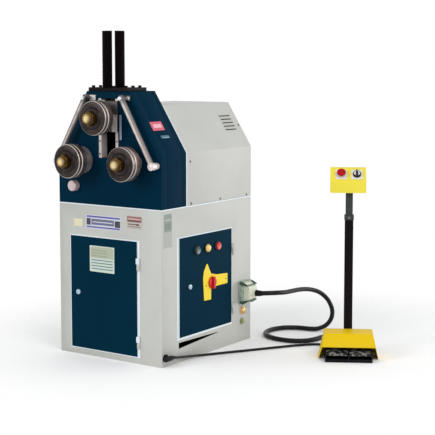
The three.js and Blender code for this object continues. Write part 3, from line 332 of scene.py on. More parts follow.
def turned_steel(name, colour, centre, rings, roughness=0.3, edges=(), oil=0.62, grooved=0.7, tip=None,
                 side=None, metallic=0.9):
    """Steel turned on an axis along Y: fine rings on its faces, painted highlights on its chamfers, and an
    oily tip.
    """
    finish = Finish(name, metallic=metallic, roughness=roughness)
    x, y, z = finish.axes(finish.moved((centre[0], 0.0, centre[1])))
    radius = (x * x + z * z).root()
    pitch = 2 * math.pi * rings / ROLL_RADIUS
    lines = (radius * pitch).sine() * 0.5 + 0.5
    fine = (radius * (pitch * 4.3)).sine() * 0.5 + 0.5
    steps = finish.node("ShaderNodeTexNoise", {"noise_dimensions": "1D"},
                        {"W": radius, "Scale": 120.0, "Detail": 3.0}, "Fac").smooth(0.42, 0.62)
    clouds = finish.noise(finish.place, 38.0, 5.0, 0.6)
    film = finish.noise(finish.place, 15.0, 3.0, 0.5).smooth(0.38, 0.62)
    base = finish.blend(lines * 0.2 + film * oil, shade(colour, 1.75), shade(colour, 0.4))
    base = finish.blend(steps * grooved * clouds.smooth(0.3, 0.62), base, shade(colour, 4.0))
    if side:
        base = finish.blend(radius.above(ROLL_RADIUS - 0.0013) * (0.6 + clouds * 0.5), base, side)
    # Bands of painted highlight on the chamfers, in a near-white steel colour.
    for low, high, share in edges:
        base = finish.blend(y.within(low, high) * share, base, linear(236, 228, 222))
    if tip:
        base = finish.blend(y.below(tip[0]) * (0.35 + clouds.smooth(0.38, 0.58) * 0.6), base, tip[1])
        base = finish.blend(y.below(tip[0]) * radius.smooth(0.008, 0.016) * 0.7, base, linear(104, 74, 36))
    finish.set("Base Color", base)
    finish.set("Roughness", roughness + lines * 0.08 + clouds.smooth(0.38, 0.66) * 0.14)
    finish.bump(lines + fine * 0.5, 0.3, 0.0003)
    return finish.material


def drawn_steel(name, colour, stretch=(1, 1, 1), roughness=0.32, metallic=0.9, stain=0.3):
    """Ground or drawn steel with its lines along one axis, and faint stains."""
    finish = Finish(name, metallic=metallic, roughness=roughness)
    lines = finish.noise(finish.moved((0, 0, 0), stretch), 320.0, 3.0, 0.6)
    clouds = finish.noise(finish.place, 30.0, 5.0, 0.65)
    base = finish.blend(lines, shade(colour, 0.84), shade(colour, 1.12))
    finish.set("Base Color", finish.blend(clouds.smooth(0.5, 0.75) * stain, base, shade(colour, 0.5)))
    finish.set("Roughness", roughness + (lines - 0.5) * 0.2 + clouds * 0.1)
    finish.bump(lines, 0.12, 0.0003)
    return finish.material


def bar_steel(name, colour, start, end, highlight_share=0.5):
    """A ground round bar: a painted highlight along it, painted shade on its outer side, and darker towards
    its top end.
    """
    finish = Finish(name, metallic=0.5, roughness=0.36)
    x, _, z = finish.axes(finish.place)
    along = (end - start).normalized()
    outward = -1 if start.x < 0 else 1
    across = ((x - start.x) * -along.z + (z - start.z) * along.x) * outward
    clouds = finish.noise(finish.place, 42.0, 5.0, 0.65)
    base = finish.blend(clouds, shade(colour, 0.62), shade(colour, 0.92))
    # Painted highlight: a bright line along the bar, just beside its middle.
    painted_highlight = 1 - abs(across + 0.0035).smooth(0.0015, 0.0055)
    base = finish.blend(painted_highlight * highlight_share * clouds.smooth(0.2, 0.5), base, linear(246, 238, 234))
    # Painted shade: the bar darkens towards its outer side.
    base = finish.blend(across.smooth(0.002, 0.010) * 0.8, base, shade(colour, 0.22))
    # Darker towards the top end.
    base = finish.blend(z.smooth(1.132, 1.156) * 0.75, base, shade(colour, 0.16))
    finish.set("Base Color", base)
    finish.set("Roughness", 0.30 + clouds * 0.16)
    finish.bump(clouds, 0.1, 0.0003)
    return finish.material


def clear_lens(name, colour):
    """A ribbed signal lens that lets a little light through."""
    finish = Finish(name, roughness=0.12, coat=0.6)
    ribs = (finish.axes(finish.place)[2] * 2600.0).sine() * 0.5 + 0.5
    finish.set("Base Color", finish.blend(ribs, shade(colour, 0.8), shade(colour, 1.15)))
    finish.set("Transmission Weight", 0.25)
    finish.set("Emission Color", colour)
    finish.set("Emission Strength", 0.12)
    finish.bump(ribs, 0.2, 0.0004)
    return finish.material


def banded_plate(name, ground, bands, metallic=0.0, roughness=0.4, centre=(0, 0, 0), side=False):
    """A plate with plain fields, each a colour and its limits across and up from the centre."""
    finish = Finish(name, metallic=metallic, roughness=roughness)
    x, y, z = finish.axes(finish.moved(centre))
    across = y if side else x
    clouds = finish.noise(finish.place, 120.0, 4.0)
    colour = finish.blend(clouds, shade(ground, 0.92), shade(ground, 1.04))
    for field, (left, right), (bottom, top) in bands:
        mask = across.within(left, right) * z.within(bottom, top)
        colour = finish.blend(mask * (0.82 + clouds * 0.3), colour, field)
    finish.set("Base Color", colour)
    finish.set("Roughness", roughness + clouds * 0.12)
    finish.bump(clouds, 0.05, 0.0003)
    return finish.material


def make_finishes():
    """Mixes every finish, from the colours that the panel shows and those that are fixed."""
    paints, metals = bpy.context.scene.roller_paints, bpy.context.scene.roller_metals
    cabinet, head, doors, yellow, iron = (tuple(getattr(paints, name)) for name in
                                          ("cabinet", "head", "doors", "pedal", "iron"))
    roll, steel, brass = (tuple(getattr(metals, name)) for name in ("roll", "steel", "brass"))
    enamel = dict(roughness=0.46, dust=0.0, shadow=0.8, light=1.2, specular=0.02)
    # Each finish has the slot it usually fills, its colour, and how it differs from its kind
    sheets = {
        "cabinet": ("cabinet_paint", cabinet, dict(dust=0.2)),
        "rim": ("cabinet_paint", linear(226, 236, 240), dict(roughness=0.3, dust=0.0)),
        "head": ("head_paint", head, enamel),
        "door": ("door_paint", doors, enamel),
        "yellow": ("yellow_paint", yellow, dict(dust=0.2, shadow=0.92, light=1.02, specular=0.08)),
        "box_yellow": ("yellow_paint", linear(234, 218, 70),
                       dict(roughness=0.4, dust=0.0, shadow=0.94, light=1.02, specular=0.2)),
    }
    plain = {"inside": ("black_paint", linear(74, 72, 70), dict(roughness=0.7)),
             "iron": ("black_paint", iron, dict(roughness=0.4, wear=shade(iron, 2.2), specular=0.06,
                                                rubbed=0.35)),
             "tube": ("black_paint", shade(iron, 0.55),
                      dict(roughness=0.5, wear=shade(iron, 1.2), specular=0.01, rubbed=0.35)),
             "post": ("black_paint", linear(54, 58, 56),
                      dict(roughness=0.42, wear=linear(84, 88, 86), specular=0.15)),
             "tread": ("black_plastic", linear(22, 21, 24),
                       dict(roughness=0.5, wear=linear(150, 148, 142), scale=11.0, specular=0.15,
                            rubbed=0.85, patches=(0.49, 0.60))),
             "black_plastic": ("black_plastic", linear(22, 22, 25),
                               dict(roughness=0.48, wear=linear(56, 56, 58), specular=0.12)),
             "rubber": ("cable_rubber", linear(14, 14, 16),
                        dict(roughness=0.36, wear=linear(84, 84, 86), scale=34.0, specular=0.2,
                             rubbed=0.4)),
             "cover": ("grey_plastic", linear(220, 224, 204),
                       dict(roughness=0.42, wear=linear(180, 192, 172), scale=30.0)),
             "housing": ("grey_plastic", linear(170, 184, 170),
                         dict(roughness=0.42, wear=linear(86, 106, 94), scale=20.0, rubbed=0.8,
                              patches=(0.48, 0.6))),
             "peach": ("brass", linear(226, 204, 180), dict(roughness=0.35)),
             "pale_plastic": ("grey_plastic", linear(224, 222, 212),
                              dict(roughness=0.4, wear=linear(196, 194, 186))),
             "green_metal": ("grey_plastic", linear(72, 92, 80), dict(roughness=0.35, metallic=0.2)),
             "motor": ("motor_paint", linear(92, 104, 112), {}),
             "red": ("red_plastic", linear(196, 20, 22), dict(roughness=0.26, coat=0.35, scale=60.0)),
             "stop_red": ("red_plastic", linear(168, 14, 18),
                          dict(roughness=0.4, specular=0.12, scale=60.0)),
             "green": ("green_plastic", linear(12, 62, 54), dict(roughness=0.24, coat=0.5, scale=60.0)),
             "switch_yellow": ("yellow_paint", linear(236, 208, 30), dict(roughness=0.38, scale=60.0)),
             "olive": ("brass", linear(148, 156, 104), dict(roughness=0.35, metallic=0.3))}
    steels = {"chrome": ("steel", linear(232, 238, 244),
                         dict(roughness=0.16, metallic=0.85, stain=0.1)),
              "latch": ("steel", linear(176, 200, 218),
                        dict(roughness=0.3, metallic=0.25, stain=0.1)),
              "bezel": ("chrome", linear(70, 74, 78), dict(roughness=0.25, stain=0.1)),
              "bright": ("steel", linear(226, 216, 213),
                         dict(roughness=0.3, metallic=0.3, stain=0.15)),
              "peg": ("steel", linear(200, 182, 180), dict(roughness=0.34, metallic=0.45, stain=0.35)),
              "gib": ("steel", linear(206, 196, 192),
                      dict(stretch=(1, 1, 0.06), roughness=0.4, metallic=0.3)),
              "slide": ("steel", shade(steel, 0.15),
                        dict(stretch=(1, 1, 0.06), roughness=0.4, metallic=0.6, stain=0.7)),
              "gear": ("steel", shade(steel, 0.7),
                       dict(stretch=(1, 0.1, 1), roughness=0.35, stain=0.5)),
              "brass": ("brass", brass, dict(stretch=(1, 0.2, 1), roughness=0.3, stain=0.85)),
              "cap": ("brass", linear(222, 176, 120), dict(roughness=0.28, stain=0.2)),
              "screw": ("steel", linear(112, 114, 108), dict(roughness=0.4, metallic=0.4))}
    for mixed, table in ((sheet_paint, sheets), (plain_paint, plain), (drawn_steel, steels)):
        for name, (slot, colour, settings) in table.items():
            FINISHES[name] = mixed(f"{name}_finish", colour, **settings), slot
    FINISHES["amber"] = clear_lens("amber_lens", linear(240, 208, 108)), "yellow_paint"
    # The left bar's steel is painted darker than the right's, as painted shade, with a weaker painted
    # highlight.
    for name, side, tone, highlight_share in (("left", -1, shade(steel, 0.5), 0.45), ("right", 1, steel, 0.6)):
        FINISHES[f"bar_{name}"] = bar_steel(f"side_bar_{name}_steel", tone, *bar_line(side), highlight_share), "steel"
    for name, axis in ROLL_AXES.items():
        low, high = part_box(f"{name}_roll_front")
        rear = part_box(f"{name}_roll_rear")[0]
        # Where the painted highlights on the chamfers lie, and how strong each one is.
        edges = [(low.y + 0.0066, low.y + 0.0098, 0.4), (high.y - 0.0034, high.y + 0.0002, 0.7),
                 (rear.y - 0.0002, rear.y + 0.0026, 0.7)]
        tip = (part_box(f"{name}_roll_nut")[0].y - 0.0002, linear(228, 206, 130))
        ring = turned_steel(f"{name}_ring_steel", roll, axis, metals.ring_count, edges=edges,
                            side=linear(142, 126, 120))
        shaft = turned_steel(f"{name}_shaft_steel", shade(steel, 0.62), axis, metals.ring_count * 2,
                             roughness=0.34, oil=0.5, grooved=0.0, tip=tip, metallic=0.7)
        FINISHES[f"{name}_ring"], FINISHES[f"{name}_shaft"] = (ring, "roll_steel"), (shaft, "steel")


# Meshes

# How far a thin piece stands off the face that it lies on, so that the two never share a plane
STAND_OFF = 0.0002
# How near two corners count as one, and how flat two faces lie to count as one
MERGE, FLAT_WITHIN = 1e-6, math.radians(0.4)
# A side bar's upper end across and up, its plane, and the radii of its eye and of the bar
BAR_TOP, BAR_Y, BAR_EYE, BAR_RADIUS = (0.104, 1.163), -0.385, 0.017, 0.012
ROLL_BORE = 0.0203
UPRIGHT = Matrix.Rotation(math.radians(90), 4, "X")


def shaded(mesh, sharp=32.0):
    mesh.polygons.foreach_set("use_smooth", [True] * len(mesh.polygons))
    mesh.set_sharp_from_angle(angle=math.radians(sharp))
    return mesh


def mesh_of(form):
    """Turns a bmesh into a mesh."""
    mesh = bpy.data.meshes.new("form")
    form.to_mesh(mesh)
    form.free()
    return mesh


def skinned(form, rings, loop=False):
    """A closed mesh over rings of corners. Its two ends are capped, or joined as a loop."""
    for first, second in zip(rings, rings[1:] + rings[:1] if loop else rings[1:]):
        for k in range(max(len(first), len(second))):
            corners = [ring[(k + step) % len(ring)]
                       for ring, step in ((first, 0), (first, 1), (second, 1), (second, 0))]
            corners = list(dict.fromkeys(corners))
            if len(corners) > 2:
                form.faces.new(corners)
    for ring in () if loop else (rings[0], rings[-1]):
        if len(ring) > 2:
            form.faces.new(ring)
    bmesh.ops.remove_doubles(form, verts=form.verts, dist=MERGE)
    bmesh.ops.recalc_face_normals(form, faces=form.faces)
    return mesh_of(form)


def circle(form, centre, across, upright, radius, sides):
    """A ring of corners in the plane of two directions, or one corner for radius 0."""
    turns = [2 * math.pi * k / sides for k in range(sides if radius else 1)]
    return [form.verts.new(centre + across * (radius * math.cos(turn)) + upright * (radius * math.sin(turn)))
            for turn in turns]


def linked(name, data):
    """A new object in the scene."""
    thing = bpy.data.objects.new(name, data)
    bpy.context.scene.collection.objects.link(thing)
    return thing


def remade(mesh, kind, settings, inputs=None):
    """What one modifier makes of a mesh, as a mesh of its own. Inputs go by their sockets' identifiers."""
    holder = linked("holder", mesh)
    modifier = holder.modifiers.new("change", kind)
    for key, value in settings.items():
        setattr(modifier, key, value)
    for identifier, value in (inputs or {}).items():
        modifier[identifier] = value
    graph = bpy.context.evaluated_depsgraph_get()
    result = bpy.data.meshes.new_from_object(holder.evaluated_get(graph))
    holder.modifiers.remove(modifier)
    bpy.data.objects.remove(holder)
    return result


def rounded(mesh, width, segments=2, angle=30.0):
    """The same mesh with its edges rounded."""
    if width <= 0:
        return shaded(mesh)
    mesh.polygons.foreach_set("use_smooth", [True] * len(mesh.polygons))
    return remade(mesh, "BEVEL", {"width": width, "segments": segments, "limit_method": "ANGLE",
                                  "angle_limit": math.radians(angle), "harden_normals": True,
                                  "use_clamp_overlap": True})


def settle(name, mesh, finish, replaced=(), body="machine", slot=None):
    """Puts a finished mesh in the scene, on the body that carries it."""
    piece = linked(name, mesh)
    mesh.materials.clear()
    material, usual_slot = FINISHES[finish]
    mesh.materials.append(material)
    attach(piece, body)
    if replaced:
        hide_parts(*replaced)


def turned(name, profile, sides, place, finish, replaced=(), closed=False, **carried):
    """A turned piece, set in its place."""
    settle(name, placed(lathe(profile, sides, closed), place), finish, replaced, **carried)


def dressed(name, node, finish, width, segments=2, angle=30.0, cutter=None, **carried):
    """A solid's own form with its flat faces cleaned, carved if asked, and its edges rounded."""
    form = bmesh.new()
    form.from_mesh(PARTS[node].data)
    bmesh.ops.remove_doubles(form, verts=form.verts, dist=MERGE)
    bmesh.ops.dissolve_limit(form, angle_limit=FLAT_WITHIN, verts=form.verts, edges=form.edges)
    mesh = mesh_of(form)
    if cutter:
        tool = linked("tool", cutter)
        mesh = remade(mesh, "BOOLEAN", {"operation": "DIFFERENCE", "solver": "EXACT", "object": tool})
        bpy.data.objects.remove(tool)
    settle(name, rounded(mesh, width, segments, angle), finish, [node], **carried)


def joined(*meshes):
    """Several meshes as one."""
    form = bmesh.new()
    for mesh in meshes:
        form.from_mesh(mesh)
    return remade(mesh_of(form), "WEIGHTED_NORMAL", {"keep_sharp": True})


def facing(origin, outward):
    """A frame on a surface: Z outwards, Y up along it."""
    z = Vector(outward).normalized()
    x = Vector((0, 0, 1)).cross(z).normalized()
    return Matrix.Translation(origin) @ Matrix((x, z.cross(x), z)).transposed().to_4x4()


def on_front(x, z, y=FRONT_Y):
    """A frame on a face that looks forward."""
    return facing((x, y, z), (0, -1, 0))


def on_right(y, z, x=SIDE_X):
    """A frame on a face that looks to the right."""
    return facing((x, y, z), (1, 0, 0))


def rectangle(left, right, bottom, top):
    return [(left, bottom), (right, bottom), (right, top), (left, top)]


def placed(mesh, matrix):
    mesh.transform(matrix)
    return mesh


def prism(points, low, high, width=0.0, segments=2):
    """A flat outline in X and Y with a thickness along Z, with its edges rounded."""
    form = bmesh.new()
    rings = [[form.verts.new((x, y, z)) for x, y in points] for z in (low, high)]
    return rounded(skinned(form, rings), width, segments)


def slab(half_x, half_y, low, high, width=0.0, segments=2):
    return prism(rectangle(-half_x, half_x, -half_y, half_y), low, high, width, segments)


def boxed(low, high, width=0.0, segments=2):
    """A box between two corners, with its edges rounded."""
    return prism(rectangle(low[0], high[0], low[1], high[1]), low[2], high[2], width, segments)


def lathe(profile, sides=64, closed=False):
    """A turned form on Z from pairs of height and radius. It ends at radius 0, or runs round if closed."""
    form = bmesh.new()
    rings = [circle(form, Vector((0, 0, height)), Vector((1, 0, 0)), Vector((0, 1, 0)), radius, sides)
             for height, radius in profile]
    return shaded(skinned(form, rings, closed))


def nut(across, low, high, bore=0.0):
    """A hexagon along Z with its corners turned off at both ends; without a bore it is a bolt's head."""
    steps, face = 8, across / 2 * 0.96
    form = bmesh.new()

    def ring(level, way, radius=None):
        made = []
        for step in range(6 * steps):
            flat = across / 2 / math.cos(math.pi / 6 * (2 * (step % steps) / steps - 1))
            reach = radius or flat
            drop = 0.0 if radius else (flat - face) * math.tan(math.radians(30)) * way
            angle = math.pi / 3 * step / steps
            made.append(form.verts.new((reach * math.cos(angle), reach * math.sin(angle), level + drop)))
        return made

    rings = [ring(low, 0, face), ring(low, 1), ring(high, -1), ring(high, 0, face)]
    if bore:
        rings = [ring(low, 0, bore), *rings, ring(high, 0, bore)]
    return shaded(skinned(form, rings, loop=bool(bore)), 28.0)


def hex_bolt(across, height):
    """A bolt's head on a thin washer."""
    washer = lathe([(0.0, 0.0), (0.0, across * 0.62), (0.0010, across * 0.62), (0.0010, 0.0)], 32)
    return joined(washer, nut(across, 0.0011, height))


def socket_screw(radius, height):
    return lathe([(0.0, 0.0), (0.0, radius * 0.95), (0.0002, radius), (height - 0.0005, radius),
                  (height, radius * 0.88), (height, radius * 0.52), (height * 0.4, radius * 0.48),
                  (height * 0.4, 0.0)], 32)


def slotted_screw(radius, height):
    """A low round head, hollow in the middle, with a bar across the hollow."""
    head = lathe([(0.0, 0.0), (0.0, radius), (height * 0.45, radius * 0.97), (height * 0.8, radius * 0.78),
                  (height * 0.9, radius * 0.5), (height * 0.35, radius * 0.34), (height * 0.35, 0.0)], 32)
    return joined(head, slab(radius * 0.30, radius * 0.07, height * 0.35, height * 0.72))


def rivet(radius):
    return lathe([(0.0, 0.0), (0.0, radius), (radius * 0.3, radius * 0.92), (radius * 0.55, radius * 0.6),
                  (radius * 0.62, 0.0)], 24)


def louvre(length):
    """A pressed louvre: a long scoop that rises to an open lip at its lower edge."""
    half, rise, tall = length / 2, 0.0042, 0.0072
    section = [(-0.5, 0.0), (-0.5, 0.92), (-0.42, 1.0), (0.1, 0.62), (0.5, 0.0)]
    stations = [(-half, 0.0), (-half + 0.003, 0.7), (-half + 0.007, 1.0), (half - 0.007, 1.0),
                (half - 0.003, 0.7), (half, 0.0)]
    form = bmesh.new()
    rings = [[form.verts.new((across, up * tall, out * rise * share + 0.0001)) for up, out in section]
             for across, share in stations]
    return shaded(skinned(form, rings), 40.0)


def slope_x(height):
    """How far out the sloping side stands at a height."""
    return SIDE_X - (height - SHOULDER_Z) * SLOPE_RUN


def panel_frame(across):
    """A frame on the control box's sloping panel, at its middle height: Z away from it."""
    rise, run, setback, height = 0.058, 0.056, 0.178, 0.816
    return (PEDESTAL @ Matrix.Translation((across, PEDAL_FRONT + setback, height))
            @ Matrix.Rotation(math.atan2(rise, run), 4, "X"))


def bar_line(side):
    """The upper and the lower end of a side bar's axis."""
    low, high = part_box("guide_bar_right")
    return (Vector((side * BAR_TOP[0], BAR_Y, BAR_TOP[1])),
            Vector((side * (high.x - BAR_EYE), BAR_Y, low.z + BAR_EYE)))


def on_axis_y(x, z):
    """A frame that lays turned forms along Y, with their height as Y."""
    return Matrix.Translation((x, 0, z)) @ Matrix.Rotation(-math.pi / 2, 4, "X")


# Repeated things, by node trees


def repeat_tree(name, master, places, finish):
    """A node tree that sets one form down at each of the listed points, turned as they say."""
    tree = bpy.data.node_groups.new(name, "GeometryNodeTree")
    tree.interface.new_socket("Size", in_out="INPUT", socket_type="NodeSocketFloat")
    tree.interface.new_socket("Geometry", in_out="OUTPUT", socket_type="NodeSocketGeometry")
    maker = NodeMaker(tree)
    size = maker.node("NodeGroupInput", out="Size")
    form, points = (maker.node("GeometryNodeObjectInfo", {}, {"Object": thing}, "Geometry")
                    for thing in (master, places))
    turn = maker.node("GeometryNodeInputNamedAttribute", {"data_type": "FLOAT_VECTOR"},
                      {"Name": "turn"}, "Attribute")
    spread = maker.node("GeometryNodeInstanceOnPoints", {},
                        {"Points": points, "Instance": form, "Rotation": turn, "Scale": size}, "Instances")
    real = maker.node("GeometryNodeRealizeInstances", {}, {"Geometry": spread}, "Geometry")
    coated = maker.node("GeometryNodeSetMaterial", {}, {"Geometry": real, "Material": finish}, "Geometry")
    maker.node("NodeGroupOutput", {}, {"Geometry": coated}, None)
    return tree


def row(name, mesh, frames, finish, size=1.0, **carried):
    """One form set down at each of the frames, made real as one piece."""
    spots = bpy.data.meshes.new("spots")
    spots.from_pydata([tuple(place.to_translation()) for place in frames], [], [])
    turns = spots.attributes.new("turn", "FLOAT_VECTOR", "POINT")
    for index, place in enumerate(frames):
        turns.data[index].vector = place.to_euler("XYZ")
    master, places = linked("master", mesh), linked("places", spots)
    tree = repeat_tree(name, master, places, FINISHES[finish][0])
    identifier = tree.interface.items_tree["Size"].identifier
    made = remade(bpy.data.meshes.new("empty"), "NODES", {"node_group": tree}, {identifier: size})
    for thing in (places, master):
        bpy.data.objects.remove(thing)
    settle(name, shaded(made), finish, **carried)


# Cables. Points of a route without a height are where the cable lies on the floor.

PEDAL_ROUTE = [
    (0.3680, 0.2810, 0.2380), (0.3790, 0.2810, 0.2380), (0.3910, 0.2822, 0.2386),
    (0.4040, 0.2857, 0.2399), (0.4190, 0.2920, 0.2410), (0.4360, 0.3045, 0.2415),
    (0.4485, 0.3215, 0.2410), (0.4565, 0.3425, 0.2395), (0.4605, 0.3680, 0.2370),
    (0.4615, 0.3980, 0.2340), (0.4610, 0.4300, 0.2320), (0.4605, 0.4700, 0.2300),
    (0.4610, 0.5200, 0.2270), (0.4660, 0.5717, 0.2215), (0.4760, 0.6217, 0.2110),
    (0.4930, 0.6659, 0.1920), (0.5140, 0.6950, 0.1610), (0.5290, 0.7035, 0.1330),
    (0.5380, 0.7065, 0.1050), (0.5395, 0.7030, 0.0780), (0.5330, 0.6950, 0.0525),
    (0.5190, 0.6820, 0.0315), (0.5000, 0.6660, 0.0185), (0.4780, 0.6510, 0.0127), (0.4510, 0.6410),
    (0.4180, 0.6355), (0.3790, 0.6240), (0.3370, 0.5948), (0.3120, 0.5487), (0.3050, 0.4968),
    (0.3170, 0.4447), (0.3470, 0.4023), (0.3927, 0.3760), (0.4436, 0.3635), (0.4960, 0.3660),
    (0.5420, 0.3860), (0.5730, 0.4220), (0.5855, 0.4660), (0.5880, 0.5000), (0.5937, 0.5325),
    (0.6102, 0.5611), (0.6355, 0.5823), (0.6665, 0.5936), (0.6995, 0.5936), (0.7305, 0.5823),
    (0.7558, 0.5611), (0.7680, 0.5430), (0.7955, 0.4950), (0.8200, 0.4526, 0.0130),
]
THIN_ROUTE = [
    (0.3100, -0.3067, 0.0390), (0.3100, -0.2990, 0.0390), (0.3099, -0.2890, 0.0376),
    (0.3095, -0.2740, 0.0343), (0.3088, -0.2560, 0.0308), (0.3073, -0.2150, 0.0246),
    (0.3062, -0.1750, 0.0187), (0.3065, -0.1400, 0.0138), (0.3093, -0.1100, 0.0100),
    (0.3146, -0.0850, 0.0075), (0.3232, -0.0615, 0.0064), (0.3359, -0.0395), (0.3508, -0.0158),
    (0.3660, 0.0085), (0.3815, 0.0333), (0.3974, 0.0586), (0.4134, 0.0841), (0.4302, 0.1109),
    (0.4476, 0.1387), (0.4665, 0.1688), (0.4881, 0.2033), (0.5113, 0.2403), (0.5486, 0.2990),
    (0.5830, 0.3460), (0.6090, 0.3760), (0.6340, 0.3960, 0.0063), (0.6600, 0.4020, 0.0070),
    (0.6840, 0.3945, 0.0090), (0.7030, 0.3760, 0.0110),
]
HOOD_REAR = 0.170


def pedestal_point(across, setback, height):
    """A point of the pedal unit: across it, behind its front, and up."""
    return PEDESTAL @ Vector((across, PEDAL_FRONT + setback, height))


def cable_end(across, height, radius):
    """The last stretch of a cable, straight into the hood's rear wall."""
    return [pedestal_point(across, HOOD_REAR + reach, level) for reach, level in
            ((5 * radius, height - radius / 3), (2 * radius, height), (radius, height), (0.0003, height))]


def smooth_run(points, step):
    """A centripetal curve through the points, in even steps, and its length."""
    points = [Vector(point) for point in points]
    ends = [2 * points[0] - points[1], *points, 2 * points[-1] - points[-2]]

    def mix(first, second, start, end, now):
        return first * ((end - now) / (end - start)) + second * ((now - start) / (end - start))

    fine = []
    for a, b, c, d in zip(ends, ends[1:], ends[2:], ends[3:]):
        t0, knots = 0.0, []
        for first, second in ((a, b), (b, c), (c, d)):
            knots.append((knots[-1] if knots else t0) + max((second - first).length, 1e-9) ** 0.5)
        t1, t2, t3 = knots
        for share in range(12):
            t = t1 + (t2 - t1) * share / 12
            middle = mix(b, c, t1, t2, t)
            before = mix(mix(a, b, t0, t1, t), middle, t0, t2, t)
            after = mix(middle, mix(c, d, t2, t3, t), t1, t3, t)
            fine.append(mix(before, after, t1, t2, t))
    fine.append(points[-1])
    length = sum((second - first).length for first, second in zip(fine, fine[1:]))
    count = max(2, round(length / step))
    even, walked, wanted = [fine[0]], 0.0, 1
    for first, second in zip(fine, fine[1:]):
        span = (second - first).length
        while wanted < count and walked + span >= wanted * length / count:
            even.append(first.lerp(second, (wanted * length / count - walked) / max(span, 1e-12)))
            wanted += 1
        walked += span
    return [*even, fine[-1]], length


def along(run, distance):
    """The point at a length along a run, and the way it goes there."""
    for first, second in zip(run, run[1:]):
        span = (second - first).length
        if distance <= span:
            return first.lerp(second, distance / span), (second - first).normalized()
        distance -= span
    return run[-1].copy(), (run[-1] - run[-2]).normalized()


def sleeve(run, reach, inner, base, tip):
    """A tapered rubber sleeve round a cable's end, with four shallow grooves."""
    form = bmesh.new()
    steps, start, sides = 16, 0.0004, 28
    outside, inside = [], []
    for step in range(steps + 1):
        share = step / steps
        place, way = along(run, start + reach * share)
        across = Vector((0, 0, 1)).cross(way).normalized()
        groove = 0.0007 if step % 4 in (2, 3) and 0 < step < steps else 0.0
        for rings, radius in ((outside, base + (tip - base) * share - groove), (inside, inner)):
            rings.append(circle(form, place, across, way.cross(across), radius, sides))
    return shaded(skinned(form, outside + inside[::-1], loop=True), 40.0)


def between(start, end):
    """A frame that lays turned forms from one point towards another."""
    way = Vector(end) - Vector(start)
    turn = way.to_track_quat("Z", "Y").to_matrix().to_4x4()
    return Matrix.Translation(start) @ turn


def rounded_outline(points, radius, steps=5):
    """An outline with each corner turned into an arc."""
    result = []
    count = len(points)
    for index in range(count):
        before, here, after = (Vector(points[(index + shift) % count]) for shift in (-1, 0, 1))
        back, on = (before - here).normalized(), (after - here).normalized()
        half = math.acos(max(-1.0, min(1.0, back.dot(on)))) / 2
        reach = min(radius / math.tan(half), (before - here).length * 0.45, (after - here).length * 0.45)
        for step in range(steps + 1):
            share = step / steps
            first, second = here + back * reach * (1 - share), here + on * reach * share
            result.append(tuple(first.lerp(second, share)))
    return result


def rim(outer, inner, low, high, width=0.0):
    """A flat frame between two outlines with the same number of points."""
    form = bmesh.new()
    rings = [[form.verts.new((x, y, z)) for x, y in points]
             for points, z in ((outer, low), (outer, high), (inner, high), (inner, low))]
    return rounded(skinned(form, rings, loop=True), width, 1)


FRONT = on_front(0, 0)
RIGHT = on_right(0, 0)


# Operators


class Step:
    """What every step shares."""
    bl_options = {"REGISTER", "UNDO"}


class ROLLER_OT_camera(Step, bpy.types.Operator):
    """Sets the camera as the photo was taken"""
    bl_idname = "roller.camera"
    bl_label = "Camera"

    def execute(self, context):
        lens = bpy.data.cameras.new("view")
        lens.lens = 100.76
        lens.shift_y = -0.0862
        camera = bpy.data.objects.new("view", lens)
        camera.location = (3.4210, -4.4677, 1.3318)
        camera.rotation_euler = (math.radians(84.331), 0.0, math.radians(34.59))
        context.scene.collection.objects.link(camera)
        context.scene.camera = camera
        return {"FINISHED"}


class ROLLER_OT_finishes(Step, bpy.types.Operator):
    """Mixes the paints, metals and plastics"""
    bl_idname = "roller.finishes"
    bl_label = "Finishes"

    def execute(self, context):
        make_finishes()
        return {"FINISHED"}


class ROLLER_OT_cables(Step, bpy.types.Operator):
    """Lays both cables along their routes, with a sleeve at each end"""
    bl_idname = "roller.cables"
    bl_label = "Cables"

    def execute(self, context):
        sizes = context.scene.roller_sizes
        self.lay("pedal_cable", PEDAL_ROUTE, cable_end(across=0.052, height=0.026, radius=0.011),
                 sizes.pedal_cable, lying=0.0117, sleeve_length=0.030)
        self.lay("thin_cable", THIN_ROUTE, cable_end(across=-0.086, height=0.018, radius=0.0055),
                 sizes.thin_cable, lying=0.0062, sleeve_length=0.022)
        return {"FINISHED"}

    def lay(self, name, route, end, diameter, lying, sleeve_length):
        points = [point if len(point) == 3 else (*point, lying) for point in route]
        run, length = smooth_run(points + end, step=0.007)
        radius = diameter / 2
        curve = bpy.data.curves.new(f"{name}_line", "CURVE")
        curve.dimensions = "3D"
        curve.bevel_depth = radius
        curve.bevel_resolution = 5
        curve.use_fill_caps = True
        spline = curve.splines.new("POLY")
        spline.points.add(len(run) - 1)
        for point, place in zip(spline.points, run):
            point.co = (*place, 1.0)
        spline.use_smooth = True
        curve.materials.append(FINISHES["rubber"][0])
        line = linked(f"{name}_sheath", curve)
        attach(line, "machine")
        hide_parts(name)
        for place, path in (("outlet", run), ("hood", run[::-1])):
            mesh = sleeve(path, sleeve_length, radius + STAND_OFF, radius * 1.42, radius * 1.14)
            settle(f"{name}_{place}_sleeve", mesh, "black_plastic", slot="cable_rubber")


